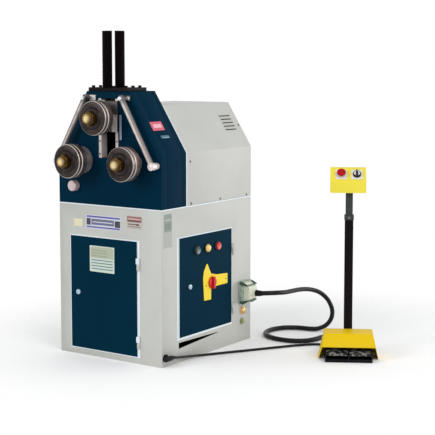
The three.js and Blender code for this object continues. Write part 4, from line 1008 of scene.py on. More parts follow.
class ROLLER_OT_rolls(Step, bpy.types.Operator):
    """Turns the rolls with their shafts and nuts"""
    bl_idname = "roller.rolls"
    bl_label = "Rolls"

    def execute(self, context):
        for name, axis in ROLL_AXES.items():
            body, place = f"{name}_roll_body", on_axis_y(*axis)
            for end, rise in (("front", 0.006), ("rear", 0.0)):
                self.ring(name, f"{name}_roll_{end}", body, place, rise)
            low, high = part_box(f"{name}_roll_nut")
            corner_up = place @ Matrix.Rotation(math.radians(30), 4, "Z")
            settle(f"{name}_lock_nut", placed(nut(0.055, low.y, high.y, ROLL_BORE), corner_up), "brass",
                   [f"{name}_roll_nut"], body=body)
            self.shaft(name, body, place)
        return {"FINISHED"}

    def ring(self, name, node, body, place, rise):
        """A disc with chamfered edges; a rise gives its front a raised hub."""
        low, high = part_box(node)
        front, face, hub = low.y, low.y + rise, 0.046
        chamfer = [(0.0, 0.0706), (0.0003, 0.0712), (0.0038, 0.0747), (0.0042, ROLL_RADIUS)]
        profile = [(front, ROLL_BORE)]
        if rise:
            profile += [(front, hub - 0.0008), (front + 0.0008, hub), (face - 0.001, hub + 0.0024),
                        (face, hub + 0.0032)]
        profile += [(face + depth, radius) for depth, radius in chamfer]
        profile += [(high.y - depth, radius) for depth, radius in reversed(chamfer)] + [(high.y, ROLL_BORE)]
        turned(f"{node}_disc", profile, 96, place, f"{name}_ring", [node], closed=True, body=body)

    def shaft(self, name, body, place):
        """A shaft with a centre hole in its tip, a collar behind the rolls, and its journal."""
        low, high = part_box(f"{name}_shaft")
        tip, collar, collar_face, rear_bearing = low.y, 0.060 if name == "left" else 0.038, -0.4017, -0.1697
        journal, shoulder = (0.025, -0.3583) if name == "upper" else (0.030, -0.3506)
        profile = [(tip + 0.0040, 0.0), (tip + 0.0015, 0.0030), (tip, 0.0048), (tip, 0.0185),
                   (tip + 0.0015, 0.020), (collar_face, 0.020), (collar_face, collar - 0.0012),
                   (collar_face + 0.0012, collar), (shoulder - 0.0012, collar), (shoulder, collar - 0.0012),
                   (shoulder, journal)]
        if name != "upper":
            profile += [(rear_bearing, journal), (rear_bearing, 0.025)]
        profile += [(high.y - 0.0015, 0.025), (high.y, 0.0235), (high.y, 0.0)]
        turned(f"{name}_roll_shaft", profile, 80, place, f"{name}_shaft", [f"{name}_shaft"], body=body)


class ROLLER_OT_slide(Step, bpy.types.Operator):
    """Finishes the slide, its gib bars with their screws, the spindle and the lifting cylinder"""
    bl_idname = "roller.slide"
    bl_label = "Slide"

    def execute(self, context):
        edge = context.scene.roller_sizes.plate_edge
        dressed("slide_carrier", "slide_block", "slide", edge, angle=40, body="slide_body")
        low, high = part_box("slide_block")
        keeper_face = low.y - 0.0034
        keeper = boxed((0.0285, keeper_face, 1.016), (high.x, low.y - STAND_OFF, 1.0905), 0.0006)
        settle("slide_keeper", keeper, "gib", body="slide_body")
        row("slide_keeper_screws", socket_screw(radius=0.0034, height=0.0018),
            [on_front(x, 1.0850, keeper_face) for x in (0.034, 0.050)], "black_plastic", body="slide_body",
            slot="steel")
        dressed("spindle_rod", "stop_spindle", "slide", edge, angle=40, body="slide_body")
        for side in ("left", "right"):
            low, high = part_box(f"gib_{side}")
            settle(f"gib_{side}_bar", boxed(low, high, edge), "gib", [f"gib_{side}"])
            heights = [low.z + 0.018 + step * (high.z - low.z - 0.036) / 4 for step in range(5)]
            row(f"gib_{side}_screws", socket_screw(radius=0.0042, height=0.0022),
                [on_front((low.x + high.x) / 2, height, low.y) for height in heights], "screw")
        dressed("lift_barrel", "lift_cylinder", "iron", edge, angle=40, slot="roll_steel")
        return {"FINISHED"}


class ROLLER_OT_side_bars(Step, bpy.types.Operator):
    """Builds the two steel bars beside the rolls and the support peg"""
    bl_idname = "roller.side_bars"
    bl_label = "Side bars"

    def execute(self, context):
        self.bar("left", -1, "bright")
        self.bar("right", 1, "slide")
        low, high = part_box("support_peg")
        front, rear = low.y, high.y
        turned("peg", [(front, 0.0), (front, 0.0200), (front + 0.0008, 0.0212), (front + 0.0028, 0.0236),
                       (front + 0.0040, 0.024), (rear - 0.0010, 0.024), (rear, 0.0230), (rear, 0.0)], 64,
               on_axis_y(-0.192, 0.768), "peg", ["support_peg"])
        return {"FINISHED"}

    def bar(self, name, side, block_finish):
        """A bar that hangs from a bolted block, with an eye on a pin at its foot."""
        top, foot = bar_line(side)
        wall, block_face, reach = FRONT_Y - 0.0003, FRONT_Y - 0.0083, (foot - top).length - BAR_RADIUS
        rod = placed(lathe([(-0.0125, 0.0), (-0.0125, 0.0095), (-0.0105, BAR_RADIUS), (reach, BAR_RADIUS),
                            (reach, 0.0)], 40), between(top, foot))
        stud = placed(lathe([(BAR_Y, 0.0), (BAR_Y, 0.0118), (wall - 0.0078, 0.0118), (wall - 0.0078, 0.0)],
                            32), on_axis_y(top.x, top.z))
        eye = lathe([(-0.397, 0.0092), (-0.397, 0.0158), (-0.3958, 0.017), (-0.3742, 0.017),
                     (-0.373, 0.0158), (-0.373, 0.0092)], 48, closed=True)
        pin = lathe([(-0.4000, 0.0), (-0.3998, 0.0040), (-0.3990, 0.0072), (-0.3975, 0.0089),
                     (-0.396, 0.0091), (wall - 0.009, 0.0091), (block_face, 0.0138), (wall, 0.0138),
                     (wall, 0.0)], 40)
        inner, outer = sorted((side * 0.068, side * 0.128))
        block = boxed((inner, block_face, 1.151), (outer, wall, 1.175), 0.0012)
        settle(f"side_bar_{name}", joined(rod, stud), f"bar_{name}", [f"guide_bar_{name}"])
        settle(f"side_bar_{name}_ends", placed(joined(eye, pin), on_axis_y(foot.x, foot.z)), "bright")
        settle(f"side_bar_{name}_block", block, block_finish)
        frames = [on_front(side * x, BAR_TOP[1], block_face) for x in (0.0800, 0.1190)]
        frames.append(on_front(side * BAR_TOP[0], BAR_TOP[1], -0.3968))
        row(f"side_bar_{name}_bolts", hex_bolt(across=0.0139, height=0.0068), frames, "chrome")


class ROLLER_OT_guard(Step, bpy.types.Operator):
    """Finishes the slotted guard tube and its bolted flange"""
    bl_idname = "roller.guard"
    bl_label = "Guard tube"

    def execute(self, context):
        low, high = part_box("slotted_tube")
        slot = slab(0.006, (high.x - low.x) / 2 + 0.002, high.z - 0.0110, high.z + 0.002)
        centre = Matrix.Translation(((low.x + high.x) / 2, (low.y + high.y) / 2, 0))
        opening = placed(slot, centre @ Matrix.Rotation(TUBE_SLOT_TURN, 4, "Z"))
        dressed("guard_tube", "slotted_tube", "tube", 0.0006, angle=40, cutter=opening)
        dressed("guard_flange", "top_flange", "iron", 0.0012)
        return {"FINISHED"}


class ROLLER_OT_cabinet(Step, bpy.types.Operator):
    """Finishes the cabinet's panels and the pale lips along their edges"""
    bl_idname = "roller.cabinet"
    bl_label = "Cabinet"

    def execute(self, context):
        edge = context.scene.roller_sizes.plate_edge
        for node in ("cabinet_front", "cabinet_right", "cabinet_left", "rear_panel", "deck_plate",
                     "rear_casing_left", "rear_casing_right"):
            dressed(f"{node}_sheet", node, "cabinet", edge)
        dressed("floor_pan", "base_plate", "inside", edge)
        self.lips()
        return {"FINISHED"}

    def lips(self):
        """The pale edge on top of the cabinet, and the one down the casing's front."""
        proud, under, top = 0.0018, CABINET_TOP - 0.0050, CABINET_TOP - STAND_OFF
        outer, rear = SIDE_X + proud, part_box("rear_panel")[1].y
        front_lip = boxed((-SIDE_X, FRONT_Y - proud, under), (outer, FRONT_Y, top), 0.0008)
        side_lip = boxed((SIDE_X, FRONT_Y + STAND_OFF, under), (outer, rear, top), 0.0008)
        settle("cabinet_lips", joined(front_lip, side_lip), "rim")
        foot, crown = 0.6885, 1.128
        strip = prism([(outer, foot), (outer, SHOULDER_Z + 0.0006), (slope_x(crown) + proud * 1.1, crown),
                       (slope_x(crown), crown), (SIDE_X, SHOULDER_Z), (SIDE_X, foot)], 0.0, 0.0045, 0.0005)
        front = Matrix.Translation((0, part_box("rear_casing_right")[0].y + 0.0047, 0))
        settle("casing_lip", placed(strip, front @ UPRIGHT), "rim")


class ROLLER_OT_head(Step, bpy.types.Operator):
    """Finishes the dark head"""
    bl_idname = "roller.head"
    bl_label = "Head"

    def execute(self, context):
        edge = context.scene.roller_sizes.plate_edge * 0.5
        for name, node, width in (("head_face", "head_front_plate", edge),
                                  ("head_back", "head_rear_plate", edge),
                                  ("head_cover_left_sheet", "head_cover_left", 0.0003),
                                  ("head_cover_right_sheet", "head_cover_right", 0.0003)):
            dressed(name, node, "head", width, angle=25)
        return {"FINISHED"}


class ROLLER_OT_doors(Step, bpy.types.Operator):
    """Builds both doors with their pale edging, hinges and latches"""
    bl_idname = "roller.doors"
    bl_label = "Doors"

    def execute(self, context):
        edge = context.scene.roller_sizes.edge * 0.6
        self.door("front", FRONT_DOOR, FRONT, edge, proud=0.0008, height=0.0036,
                  trim=(0.0045, 0.0105, 0.0040, 0.0040))
        self.hinges("front", (0.166, -0.3573), heights=(0.096, 0.443), across=(-0.010, -0.00375),
                    deep=(-0.003, 0.0055), finish="rim")
        self.door("side", SIDE_DOOR, RIGHT, edge, proud=0.0010, height=0.0038,
                  trim=(0.0110, 0.0050, 0.0090, 0.0035))
        self.hinges("side", (0.2973, 0.191), heights=(0.173, 0.453), across=(-0.0055, 0.003),
                    deep=(-0.010, -0.00375), finish="cabinet")
        blocks = [boxed((0.260, y - half, z - half), (0.2903, y + half, z + half), 0.0015)
                  for y, z, half in ((BUTTON_ROW["start"], BUTTON_HEIGHT, 0.018),
                                     (BUTTON_ROW["halt"], BUTTON_HEIGHT, 0.018), (*SWITCH, 0.028))]
        settle("contact_blocks", joined(*blocks), "black_plastic", body="side_door_body")
        self.latch("front", on_front(*FRONT_LATCH, FRONT_DOOR_Y - 0.0003))
        self.latch("side", on_right(*SIDE_LATCH, SIDE_DOOR_X + 0.0003))
        return {"FINISHED"}

    def door(self, name, door, surface, edge, proud, height, trim):
        """A leaf with a pale lip, and pale strips on the cabinet: left, right, below and above it."""
        body = f"{name}_door_body"
        leaf = placed(prism(rectangle(*door), 0.0003, 0.0033, edge), surface)
        settle(f"{name}_door_leaf", leaf, "door", [f"{name}_door"], body=body)
        edging = rim(self.grown(door, proud), self.grown(door, -proud), 0.0006, height, 0.0003)
        settle(f"{name}_door_edging", placed(edging, surface), "rim", body=body)
        left, right, bottom, top = door
        outer = rectangle(left - trim[0], right + trim[1], bottom - trim[2], top + trim[3])
        strips = placed(rim(outer, self.grown(door, 0.0012), 0.0001, 0.0007, 0.0002), surface)
        settle(f"{name}_frame_trim", strips, "rim")

    def grown(self, outline, amount):
        left, right, bottom, top = outline
        return rectangle(left - amount, right + amount, bottom - amount, top + amount)

    def hinges(self, name, pin, heights, across, deep, finish):
        """The door's knuckles over the fixed pins, each with its leaf."""
        knuckle = lathe([(0.0003, 0.0028), (0.0003, 0.0052), (0.0011, 0.006), (0.0250, 0.006),
                         (0.026, 0.0050), (0.026, 0.0028)], 32, closed=True)
        leaf = boxed((across[0], deep[0], 0.0006), (across[1], deep[1], 0.0257), 0.0006)
        frames = [Matrix.Translation((*pin, height)) for height in heights]
        row(f"{name}_door_hinges", joined(knuckle, leaf), frames, finish, body=f"{name}_door_body")

    def latch(self, name, face):
        """A round plated latch with its stem and tongue, and the key slot in its face."""
        node, body = f"{name}_door_latch", f"{name}_latch_body"
        slot = placed(slab(0.0010, 0.0046, 0.0058, 0.0062), face)
        settle(f"{node}_slot", slot, "black_plastic", body=body)
        dressed(f"{node}_tongue", node, "latch", 0.0006, angle=40, body=body)


class ROLLER_OT_controls(Step, bpy.types.Operator):
    """Builds the buttons, the lamp and the main switch on the side door"""
    bl_idname = "roller.controls"
    bl_label = "Door controls"

    def execute(self, context):
        for name, finish in (("start", "green"), ("halt", "red")):
            node, y = f"{name}_button", BUTTON_ROW[name]
            self.bezel(f"{node}_bezel", y)
            cap = lathe([(0.0, 0.0), (0.0, 0.0168), (0.0004, 0.017), (0.0070, 0.017), (0.0082, 0.0166),
                         (0.0090, 0.0156), (0.0088, 0.0130), (0.0083, 0.0080), (0.0081, 0.0)], 56)
            whole = placed(joined(cap, self.stem(0.0226, 0.008, 0.0005)),
                           on_right(y, BUTTON_HEIGHT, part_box(node)[1].x - 0.009))
            settle(f"{node}_cap", whole, finish, [node], body=f"{node}_body")
        self.bezel("lamp_bezel", BUTTON_ROW["lamp"])
        turned("lamp_lens", [(0.0, 0.0), (0.0, 0.0168), (0.0050, 0.0168), (0.0110, 0.0160),
                             (0.0150, 0.0138), (0.0176, 0.0100), (0.0188, 0.0050), (0.0190, 0.0)], 56,
               on_right(BUTTON_ROW["lamp"], BUTTON_HEIGHT, SIDE_DOOR_X + STAND_OFF), "amber",
               body="side_door_body")
        self.switch()
        return {"FINISHED"}

    def bezel(self, name, y):
        profile = [(STAND_OFF, 0.0175), (STAND_OFF, 0.0205), (0.0040, 0.0208), (0.0062, 0.0200),
                   (0.0070, 0.0186), (0.0066, 0.0175)]
        turned(name, profile, 56, on_right(y, BUTTON_HEIGHT, SIDE_DOOR_X), "bezel", closed=True,
               body="side_door_body")

    def stem(self, depth, radius, top):
        """The round stem of a control, from inside the door up to its head."""
        return lathe([(-depth, 0.0), (-depth, radius), (top, radius), (top, 0.0)], 24)

    def switch(self):
        outline = [(-0.040, 0.245), (0.014, 0.243), (0.016, 0.299), (0.147, 0.299), (0.147, 0.346),
                   (0.060, 0.352), (0.016, 0.362), (0.000, 0.386), (-0.013, 0.410), (-0.020, 0.410),
                   (-0.041, 0.380), (-0.048, 0.350)]
        top = 0.0018
        plate = placed(prism(rounded_outline(outline, 0.004), STAND_OFF, top, 0.0005),
                       on_right(0, 0, SIDE_DOOR_X))
        settle("switch_plate", plate, "switch_yellow", body="side_door_body")
        frames = [on_right(y, z, SIDE_DOOR_X + top) for y, z in ((-0.026, 0.312), (0.134, 0.322))]
        row("switch_screws", slotted_screw(radius=0.0034, height=0.0012), frames, "black_plastic",
            body="side_door_body")
        knob = lathe([(0.0, 0.0), (0.0, 0.0274), (0.0008, 0.028), (0.0055, 0.0276), (0.0074, 0.0264),
                      (0.0080, 0.0240), (0.0080, 0.0)], 64)
        grip = slab(0.0068, 0.0265, 0.0075, 0.0180, 0.0022, 3)
        whole = placed(joined(knob, grip, self.stem(0.0209, 0.006, 0.0003)),
                       on_right(*SWITCH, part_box("switch_handle")[1].x - 0.018))
        settle("switch_knob", whole, "red", ["switch_handle"], body="switch_body")


class ROLLER_OT_connector(Step, bpy.types.Operator):
    """Builds the multi-pin connector, the cap and the fitting below it, and the small gland"""
    bl_idname = "roller.connector"
    bl_label = "Connector"

    def execute(self, context):
        low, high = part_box("connector_base")
        settle("connector_housing", boxed(low, high, 0.0024, 3), "housing", ["connector_base"])
        dressed("connector_cover", "connector_hood", "cover", 0.0020, 3, angle=40)
        self.levers(low, high)
        frames = [on_right(y, z, high.x - 0.0002) for y in (low.y + 0.0062, high.y - 0.0062)
                  for z in (low.z + 0.0048, high.z - 0.0048)]
        row("connector_screws", slotted_screw(radius=0.0030, height=0.0014), frames, "screw")
        cap_place = on_right(0.279, 0.147)
        turned("cap_collar", [(STAND_OFF, 0.0), (STAND_OFF, 0.0218), (0.0012, 0.0224), (0.0024, 0.0216),
                              (0.0024, 0.0)], 56, cap_place, "peach")
        turned("brass_cap", [(0.0026, 0.0), (0.0026, 0.0178), (0.0040, 0.0184), (0.0070, 0.0176),
                             (0.0074, 0.0144), (0.0100, 0.0136), (0.0128, 0.0114), (0.0140, 0.0070),
                             (0.0140, 0.0)], 56, cap_place, "cap")
        spigot = lathe([(0.0051, 0.0), (0.0051, 0.0098), (0.0104, 0.0098), (0.0112, 0.0084), (0.0112, 0.0)],
                       32)
        fitting = placed(joined(nut(0.029, STAND_OFF, 0.0050), spigot), on_right(0.275, 0.097))
        settle("drain_fitting", fitting, "olive")
        dressed("thin_cable_gland", "cable_gland", "black_plastic", 0.0008, angle=40)
        return {"FINISHED"}

    def levers(self, low, high):
        """A locking lever at each end of the cover: a pair of bent straps and the tie between them."""
        bars = []
        left, right = low.y - 0.0017, high.y + 0.0017
        for end in (-1, 1):
            z = (low.z + high.z) / 2 + end * 0.0455
            bent = z - end * 0.008
            strap = [(0.300, z - 0.008), (0.3165, z - 0.010), (0.342, bent - 0.004), (0.342, bent + 0.004),
                     (0.3165, z + 0.007), (0.300, z + 0.007)]
            for y in (left + 0.0014, right):
                bars.append(placed(prism(rounded_outline(strap, 0.003, 4), 0.0, 0.0014, 0.0003),
                                   Matrix.Translation((0, y, 0)) @ UPRIGHT))
            tie = lathe([(left, 0.0), (left, 0.0030), (right, 0.0030), (right, 0.0)], 20)
            bars.append(placed(tie, on_axis_y(0.3425, bent)))
        settle("connector_levers", joined(*bars), "green_metal")


class ROLLER_OT_plates(Step, bpy.types.Operator):
    """Fixes the blank plates, labels and stickers, and the scale beside the slide"""
    bl_idname = "roller.plates"
    bl_label = "Plates"

    def execute(self, context):
        lilac, blue, black = linear(204, 204, 218), linear(78, 82, 146), linear(30, 28, 42)
        self.plate("front_plate", FRONT, (-0.134, 0.067), (0.581, 0.642), "cabinet_paint", lilac,
                   [(blue, (-0.096, 0.096), (0.0185, 0.0265)), (blue, (-0.096, 0.096), (-0.0275, -0.0205)),
                    (linear(92, 94, 122), (-0.068, 0.062), (-0.0140, 0.0130)),
                    (black, (-0.096, -0.072), (-0.0160, 0.0140)),
                    (black, (0.066, 0.097), (-0.0180, 0.0110)),
                    (lilac, (-0.060, 0.054), (-0.0030, 0.0010))])
        brick, dusk = linear(142, 98, 94), linear(88, 68, 68)
        self.plate("brick_plate", FRONT, (0.101, 0.184), (0.597, 0.652), "cabinet_paint",
                   linear(184, 174, 168), [(brick, (-0.040, 0.040), (0.001, 0.026)),
                                           (dusk, (-0.036, 0.034), (0.003, 0.009)),
                                           (linear(204, 168, 162), (-0.036, 0.034), (0.012, 0.017)),
                                           (dusk, (-0.036, 0.012), (-0.011, -0.006)),
                                           (dusk, (0.010, 0.026), (-0.014, -0.005)),
                                           (linear(126, 112, 108), (-0.036, 0.034), (-0.0215, -0.0170))])
        self.plate("small_sticker", FRONT, (-0.2055, -0.1515), (0.5825, 0.6205), "cabinet_paint",
                   linear(202, 201, 190), [(linear(216, 210, 172), (-0.023, 0.023), (-0.015, 0.015))])
        bands = [(linear(166, 172, 150), (-0.066, 0.066), (0.004, 0.054))]
        for tone, across, levels, tall in (
                (linear(138, 148, 134), (-0.058, 0.030), (0.012, 0.024, 0.036), 0.0040),
                (linear(92, 124, 126), (-0.062, 0.062), (-0.008, -0.021, -0.034, -0.047), 0.0050)):
            bands += [(tone, across, (level, level + tall)) for level in levels]
        self.plate("data_plate", on_front(0, 0, FRONT_DOOR_Y), (-0.110, 0.031), (0.387, 0.504), "steel",
                   linear(196, 208, 196), bands, "front_door_body", metallic=0.2, roughness=0.42)
        frames = [on_front(x, z, FRONT_DOOR_Y - 0.0013) for x in (-0.104, 0.025) for z in (0.393, 0.498)]
        row("data_plate_rivets", rivet(radius=0.0022), frames, "chrome", body="front_door_body")
        self.plate("side_plate", RIGHT, (-0.334, -0.277), (0.521, 0.667), "grey_plastic",
                   linear(166, 168, 162), [(linear(130, 138, 132), (-0.027, 0.027), (-0.004, 0.072)),
                                           (linear(118, 127, 120), (-0.022, 0.022), (0.004, 0.034)),
                                           (linear(166, 171, 165), (-0.022, 0.022), (0.044, 0.050))],
                   side=True, roughness=0.45)
        self.slope_labels()
        marks = [step * 0.009 - 0.052 for step in range(12)]
        self.plate("scale_strip", FRONT, (0.064, 0.075), (0.981, 1.090), "steel", linear(166, 176, 200),
                   [(linear(60, 76, 86), (-0.0055, 0.0055), (mark, mark + 0.0014)) for mark in marks],
                   metallic=0.2)
        self.plate("slide_tag", on_front(0, 0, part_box("slide_block")[0].y), (-0.050, -0.010),
                   (1.1390, 1.1545), "grey_plastic", linear(120, 138, 134), [], "slide_body", 0.002,
                   roughness=0.5)
        return {"FINISHED"}

    def plate(self, name, surface, across, up, slot, ground, bands, body="machine", thick=0.0010,
              side=False, **look):
        middle, height = sum(across) / 2, sum(up) / 2
        centre = (0, middle, height) if side else (middle, 0, height)
        FINISHES[name] = banded_plate(f"{name}_print", ground, bands, centre=centre, side=side,
                                      **look), slot
        outline = rounded_outline(rectangle(*across, *up), 0.0025, 3)
        form = prism(outline, STAND_OFF, STAND_OFF + thick, 0.0003)
        settle(name, placed(form, surface), name, body=body)

    def slope_labels(self):
        """A red label and a small mark on the head's slope, each with a paler field on it."""
        for name, y, z, half_y, half_up, tone, back in (
                ("red_label", -0.279, 1.043, 0.041, 0.022, linear(206, 92, 112), STAND_OFF),
                ("red_label_field", -0.279, 1.043, 0.028, 0.009, linear(236, 176, 186), 0.0011),
                ("small_mark", -0.261, 0.997, 0.029, 0.007, linear(62, 102, 118), STAND_OFF),
                ("small_mark_line", -0.256, 0.993, 0.022, 0.002, linear(138, 172, 184), 0.0011)):
            FINISHES[name] = banded_plate(f"{name}_print", tone, [], roughness=0.45), "red_plastic"
            outline = rounded_outline(rectangle(-half_y, half_y, -half_up, half_up), 0.003, 3)
            label = placed(prism(outline, back, back + 0.0007, 0.0002),
                           facing((slope_x(z), y, z), SLOPE_NORMAL))
            settle(name, label, name)


class ROLLER_OT_fasteners(Step, bpy.types.Operator):
    """Sets the casing's screws and the louvres"""
    bl_idname = "roller.fasteners"
    bl_label = "Screws and louvres"

    def execute(self, context):
        sizes = context.scene.roller_sizes
        screws = [on_right(y, 0.6965) for y in (-0.132, 0.095, 0.313)]
        screws += [facing((slope_x(1.021), 0.337, 1.021), SLOPE_NORMAL), on_right(-0.139, 0.883)]
        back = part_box("rear_panel")[1].y
        rear = [facing((x, back, z), (0, 1, 0)) for x in (-0.272, 0.272)
                for z in (0.045, 0.352, 0.660, 0.900)]
        for name, frames in (("casing_screws_right", screws), ("rear_panel_screws", rear),
                             ("casing_screws_left", [self.mirrored(frame) for frame in screws])):
            row(name, slotted_screw(radius=0.0060, height=0.0026), frames, "screw")
        heights = [1.071 - step * 0.0155 for step in range(sizes.louvres)]
        for side, name in ((1, "right"), (-1, "left")) if heights else ():
            normal = Vector((side * SLOPE_NORMAL.x, 0, SLOPE_NORMAL.z))
            frames = [facing((side * slope_x(height), 0.2585, height), normal) for height in heights]
            # Below each louvre's lip, a black strip on the casing: painted shade under the lip.
            shade_strip = slab(sizes.louvre_length / 2 - 0.003, 0.0019, -STAND_OFF, 0.0006)
            lower = [frame @ Matrix.Translation((0, -0.0058, 0)) for frame in frames]
            row(f"louvre_mouths_{name}", shade_strip, lower, "black_plastic", slot="cabinet_paint")
            row(f"louvres_{name}", louvre(sizes.louvre_length), frames, "cabinet")
        return {"FINISHED"}

    def mirrored(self, frame):
        """The same place on the machine's other side."""
        spot, normal = frame.to_translation(), frame.to_3x3() @ Vector((0, 0, 1))
        return facing((-spot.x, spot.y, spot.z), (-normal.x, 0, normal.z))


class ROLLER_OT_pedal(Step, bpy.types.Operator):
    """Builds the foot pedal: its hood, housing, foot and ribbed treads"""
    bl_idname = "roller.pedal"
    bl_label = "Foot pedal"

    def execute(self, context):
        dressed("hood_shell", "pedal_hood", "yellow", 0.0022, 3, angle=20)
        dressed("pedal_case", "pedal_housing", "black_plastic", 0.0012)
        dressed("pedestal_foot", "pedestal_frame", "iron", 0.0014)
        for name, side in (("left", -1), ("right", 1)):
            self.tread(name, side, context.scene.roller_sizes.tread_ribs)
        return {"FINISHED"}

    def tread(self, name, side, ribs):
        body = f"pedal_{name}_body"
        dressed(f"tread_{name}", f"pedal_{name}", "tread", 0.0012, angle=40, body=body)
        if not ribs:
            return
        inner, outer = 0.0033, 0.0987
        front = Vector((side * (inner + outer) / 2, PEDAL_FRONT + 0.004, 0.037))
        run = Vector((0, 0.130, 0.017))
        lean = Matrix.Rotation(math.atan2(run.z, run.y), 4, "X")
        shares = [0.06 + step * 0.50 / max(1, ribs - 1) for step in range(ribs)]
        frames = [PEDESTAL @ Matrix.Translation(front + run * share) @ lean for share in shares]
        rib = slab((outer - inner) / 2 - 0.006, 0.0019, -STAND_OFF, 0.0012, 0.0006)
        row(f"tread_{name}_ribs", rib, frames, "tread", body=body)


class ROLLER_OT_post(Step, bpy.types.Operator):
    """Builds the control post with its box, stop button and selector"""
    bl_idname = "roller.post"
    bl_label = "Control post"

    def execute(self, context):
        dressed("inner_post", "post_upper", "post", 0.0020, 3, body="post_body")
        self.collar()
        dressed("box_shell", "control_box", "box_yellow", 0.0030, 3, angle=35, body="post_body")
        for name, across in (("stop", STOP_ACROSS), ("selector", SELECTOR_ACROSS)):
            outline = rounded_outline(rectangle(-0.0260, 0.0260, -0.0270, 0.0270), 0.003)
            plate = prism(outline, STAND_OFF, 0.0014, 0.0004)
            settle(f"{name}_legend", placed(plate, panel_frame(across)), "pale_plastic", body="post_body")
        turned("stop_mushroom", [(-0.0240, 0.0), (-0.0240, 0.009), (0.0053, 0.009), (0.0053, 0.0120),
                                 (0.0138, 0.0120), (0.0140, 0.0186), (0.0150, 0.0198), (0.0180, 0.0200),
                                 (0.0204, 0.0186), (0.0216, 0.0150), (0.0220, 0.0080), (0.0220, 0.0)], 64,
               panel_frame(STOP_ACROSS), "stop_red", ["stop_button"], body="stop_button_body")
        self.selector(panel_frame(SELECTOR_ACROSS))
        frames = [PEDESTAL @ on_front(across, z, PEDAL_FRONT + 0.150) for across in (-0.078, 0.066)
                  for z in (0.744, 0.779)]
        row("box_screws", slotted_screw(radius=0.0034, height=0.0014), frames, "box_yellow",
            body="post_body")
        return {"FINISHED"}

    def collar(self):
        """The clamp on the lower tube's end, with its screw."""
        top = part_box("pedestal_frame")[1].z + 0.0012
        outer, inner = (rounded_outline(rectangle(-half, half, -half, half), corner)
                        for half, corner in ((0.0212, 0.004), (0.0192, 0.0005)))
        centre = PEDESTAL @ Matrix.Translation((0, PEDAL_FRONT + POST_SETBACK, 0))
        settle("post_collar", placed(rim(outer, inner, top - 0.022, top, 0.0004), centre), "post")
        screw = slotted_screw(radius=0.0060, height=0.0030)
        settle("post_collar_screw", placed(screw, centre @ on_front(0, top - 0.011, -0.0211)), "screw")

    def selector(self, place):
        disc = lathe([(-0.0240, 0.0), (-0.0240, 0.009), (0.0003, 0.009), (0.0003, 0.0176), (0.0010, 0.018),
                      (0.0100, 0.0176), (0.0120, 0.0160), (0.0120, 0.0)], 56)
        grip = slab(0.0044, 0.0163, 0.0115, 0.0209, 0.0016, 3)
        settle("selector_dial", placed(joined(disc, grip), place), "black_plastic", ["selector_knob"],
               body="selector_body")
        turned("selector_field", [(0.0121, 0.0044), (0.0121, 0.0134), (0.0123, 0.0136), (0.0127, 0.0134),
                                  (0.0127, 0.0044)], 48, place, "pale_plastic", closed=True,
               body="selector_body")
        mark = placed(slab(0.0008, 0.0050, 0.0209, 0.0212), place @ Matrix.Translation((0, 0.0095, 0)))
        settle("selector_mark", mark, "rim", body="selector_body", slot="grey_plastic")


class ROLLER_OT_drive(Step, bpy.types.Operator):
    """Finishes the gears, the motor and the power unit inside"""
    bl_idname = "roller.drive"
    bl_label = "Drive"

    def execute(self, context):
        for node, body in (("left_gear", "left_roll_body"), ("right_gear", "right_roll_body"),
                           ("drive_pinion", "pinion_body")):
            dressed(f"{node}_wheel", node, "gear", 0.0004, 1, angle=50, body=body)
        for node in ("gear_motor", "hydraulic_power_unit"):
            dressed(f"{node}_case", node, "motor", 0.0020, angle=40)
        return {"FINISHED"}


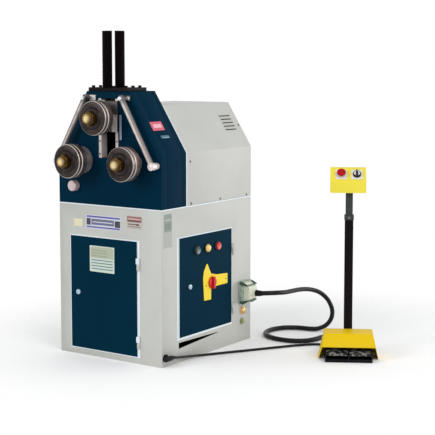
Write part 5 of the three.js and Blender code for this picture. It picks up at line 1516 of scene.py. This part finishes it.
class ROLLER_OT_stage(Step, bpy.types.Operator):
    """Sets the pale floor, the white surround and the soft lamps"""
    bl_idname = "roller.stage"
    bl_label = "Stage"

    def execute(self, context):
        context.scene.view_settings.view_transform = "Standard"
        self.floor()
        self.surround(context.scene)
        self.lamp("key_lamp", (4.6, -2.2, 3.6), target=(0.2, 0.0, 0.7), size=3.2, power=100.0)
        self.lamp("front_lamp", (-1.8, -5.0, 3.0), target=(0.0, 0.0, 0.7), size=2.6, power=105.0)
        self.lamp("low_lamp", (3.5, 3.4, 0.8), target=(0.3, 0.2, 0.2), size=2.4, power=62.0)
        return {"FINISHED"}

    def floor(self):
        """A round sheet of paper that fades out, so that only the part near the machine shows."""
        form = bmesh.new()
        bmesh.ops.create_circle(form, cap_ends=True, radius=7.0, segments=96)
        mesh = mesh_of(form)
        finish = Finish("floor_paper", roughness=0.9, specular=0.1)
        x, y = finish.axes(finish.place)[:2]
        clouds = finish.noise(finish.place, 0.6)
        finish.set("Base Color", finish.blend(clouds, linear(250, 250, 250), linear(252, 252, 252)))
        clear = finish.node("ShaderNodeBsdfTransparent")
        far = (x * x + y * y).root().smooth(0.75, 1.7)
        faded = finish.node("ShaderNodeMixShader", {}, {0: far, 1: Signal(finish, finish.shader.outputs[0]),
                                                        2: clear})
        finish.feed(finish.tree.nodes["Material Output"].inputs["Surface"], faded)
        mesh.materials.append(finish.material)
        floor = linked("floor", mesh)
        floor.location = (0.4, 0.2, -0.0004)

    def surround(self, scene):
        """White as the camera, glossy and clear things see it, and softer as it lights the machine."""
        scene.world = bpy.data.worlds.new("surround")
        scene.world.use_nodes = True
        maker = NodeMaker(scene.world.node_tree)
        maker.tree.nodes.clear()
        camera, glossy, through = maker.node("ShaderNodeLightPath", {}, {},
                                             ("Is Camera Ray", "Is Glossy Ray", "Is Transmission Ray"))
        soft = maker.node("ShaderNodeBackground", {}, {"Color": (0.98, 0.99, 1.0), "Strength": 0.7})
        white = maker.node("ShaderNodeBackground", {}, {"Color": (1.0, 1.0, 1.0), "Strength": 1.0})
        seen = camera.larger(through).larger(glossy)
        mixed = maker.node("ShaderNodeMixShader", {}, {0: seen, 1: soft, 2: white})
        maker.node("ShaderNodeOutputWorld", {}, {"Surface": mixed}, None)

    def lamp(self, name, place, target, size, power):
        light = bpy.data.lights.new(name, "AREA")
        light.shape = "DISK"
        light.size = size
        light.energy = power
        lamp = linked(name, light)
        lamp.location = place
        lamp.rotation_euler = (Vector(target) - Vector(place)).to_track_quat("-Z", "Y").to_euler()


class ROLLER_PT_steps(bpy.types.Panel):
    """Lists the steps that build the ring roller's looks"""
    bl_idname = "ROLLER_PT_steps"
    bl_label = "Ring roller"
    bl_space_type = "VIEW_3D"
    bl_region_type = "UI"
    bl_category = "Ring roller"

    def draw(self, context):
        layout = self.layout
        for group in (context.scene.roller_paints, context.scene.roller_metals, context.scene.roller_sizes):
            for name in group.bl_rna.properties.keys():
                if name not in ("rna_type", "name"):
                    layout.prop(group, name)
        for step in STEPS:
            layout.operator(step.bl_idname)


STEPS = (ROLLER_OT_camera, ROLLER_OT_finishes, ROLLER_OT_cables, ROLLER_OT_rolls, ROLLER_OT_slide,
         ROLLER_OT_side_bars, ROLLER_OT_guard, ROLLER_OT_cabinet, ROLLER_OT_head, ROLLER_OT_doors,
         ROLLER_OT_controls, ROLLER_OT_connector, ROLLER_OT_plates, ROLLER_OT_fasteners, ROLLER_OT_pedal,
         ROLLER_OT_post, ROLLER_OT_drive, ROLLER_OT_stage)
CLASSES = (RollerPaints, RollerMetals, RollerSizes, *STEPS, ROLLER_PT_steps)


def register():
    for item in CLASSES:
        bpy.utils.register_class(item)
    bpy.types.Scene.roller_paints = PointerProperty(type=RollerPaints)
    bpy.types.Scene.roller_metals = PointerProperty(type=RollerMetals)
    bpy.types.Scene.roller_sizes = PointerProperty(type=RollerSizes)


def unregister():
    del bpy.types.Scene.roller_sizes
    del bpy.types.Scene.roller_metals
    del bpy.types.Scene.roller_paints
    for item in reversed(CLASSES):
        bpy.utils.unregister_class(item)


def main():
    register()
    for step in STEPS:
        group, name = step.bl_idname.split(".")
        getattr(getattr(bpy.ops, group), name)()


if __name__ == "__main__":
    main()
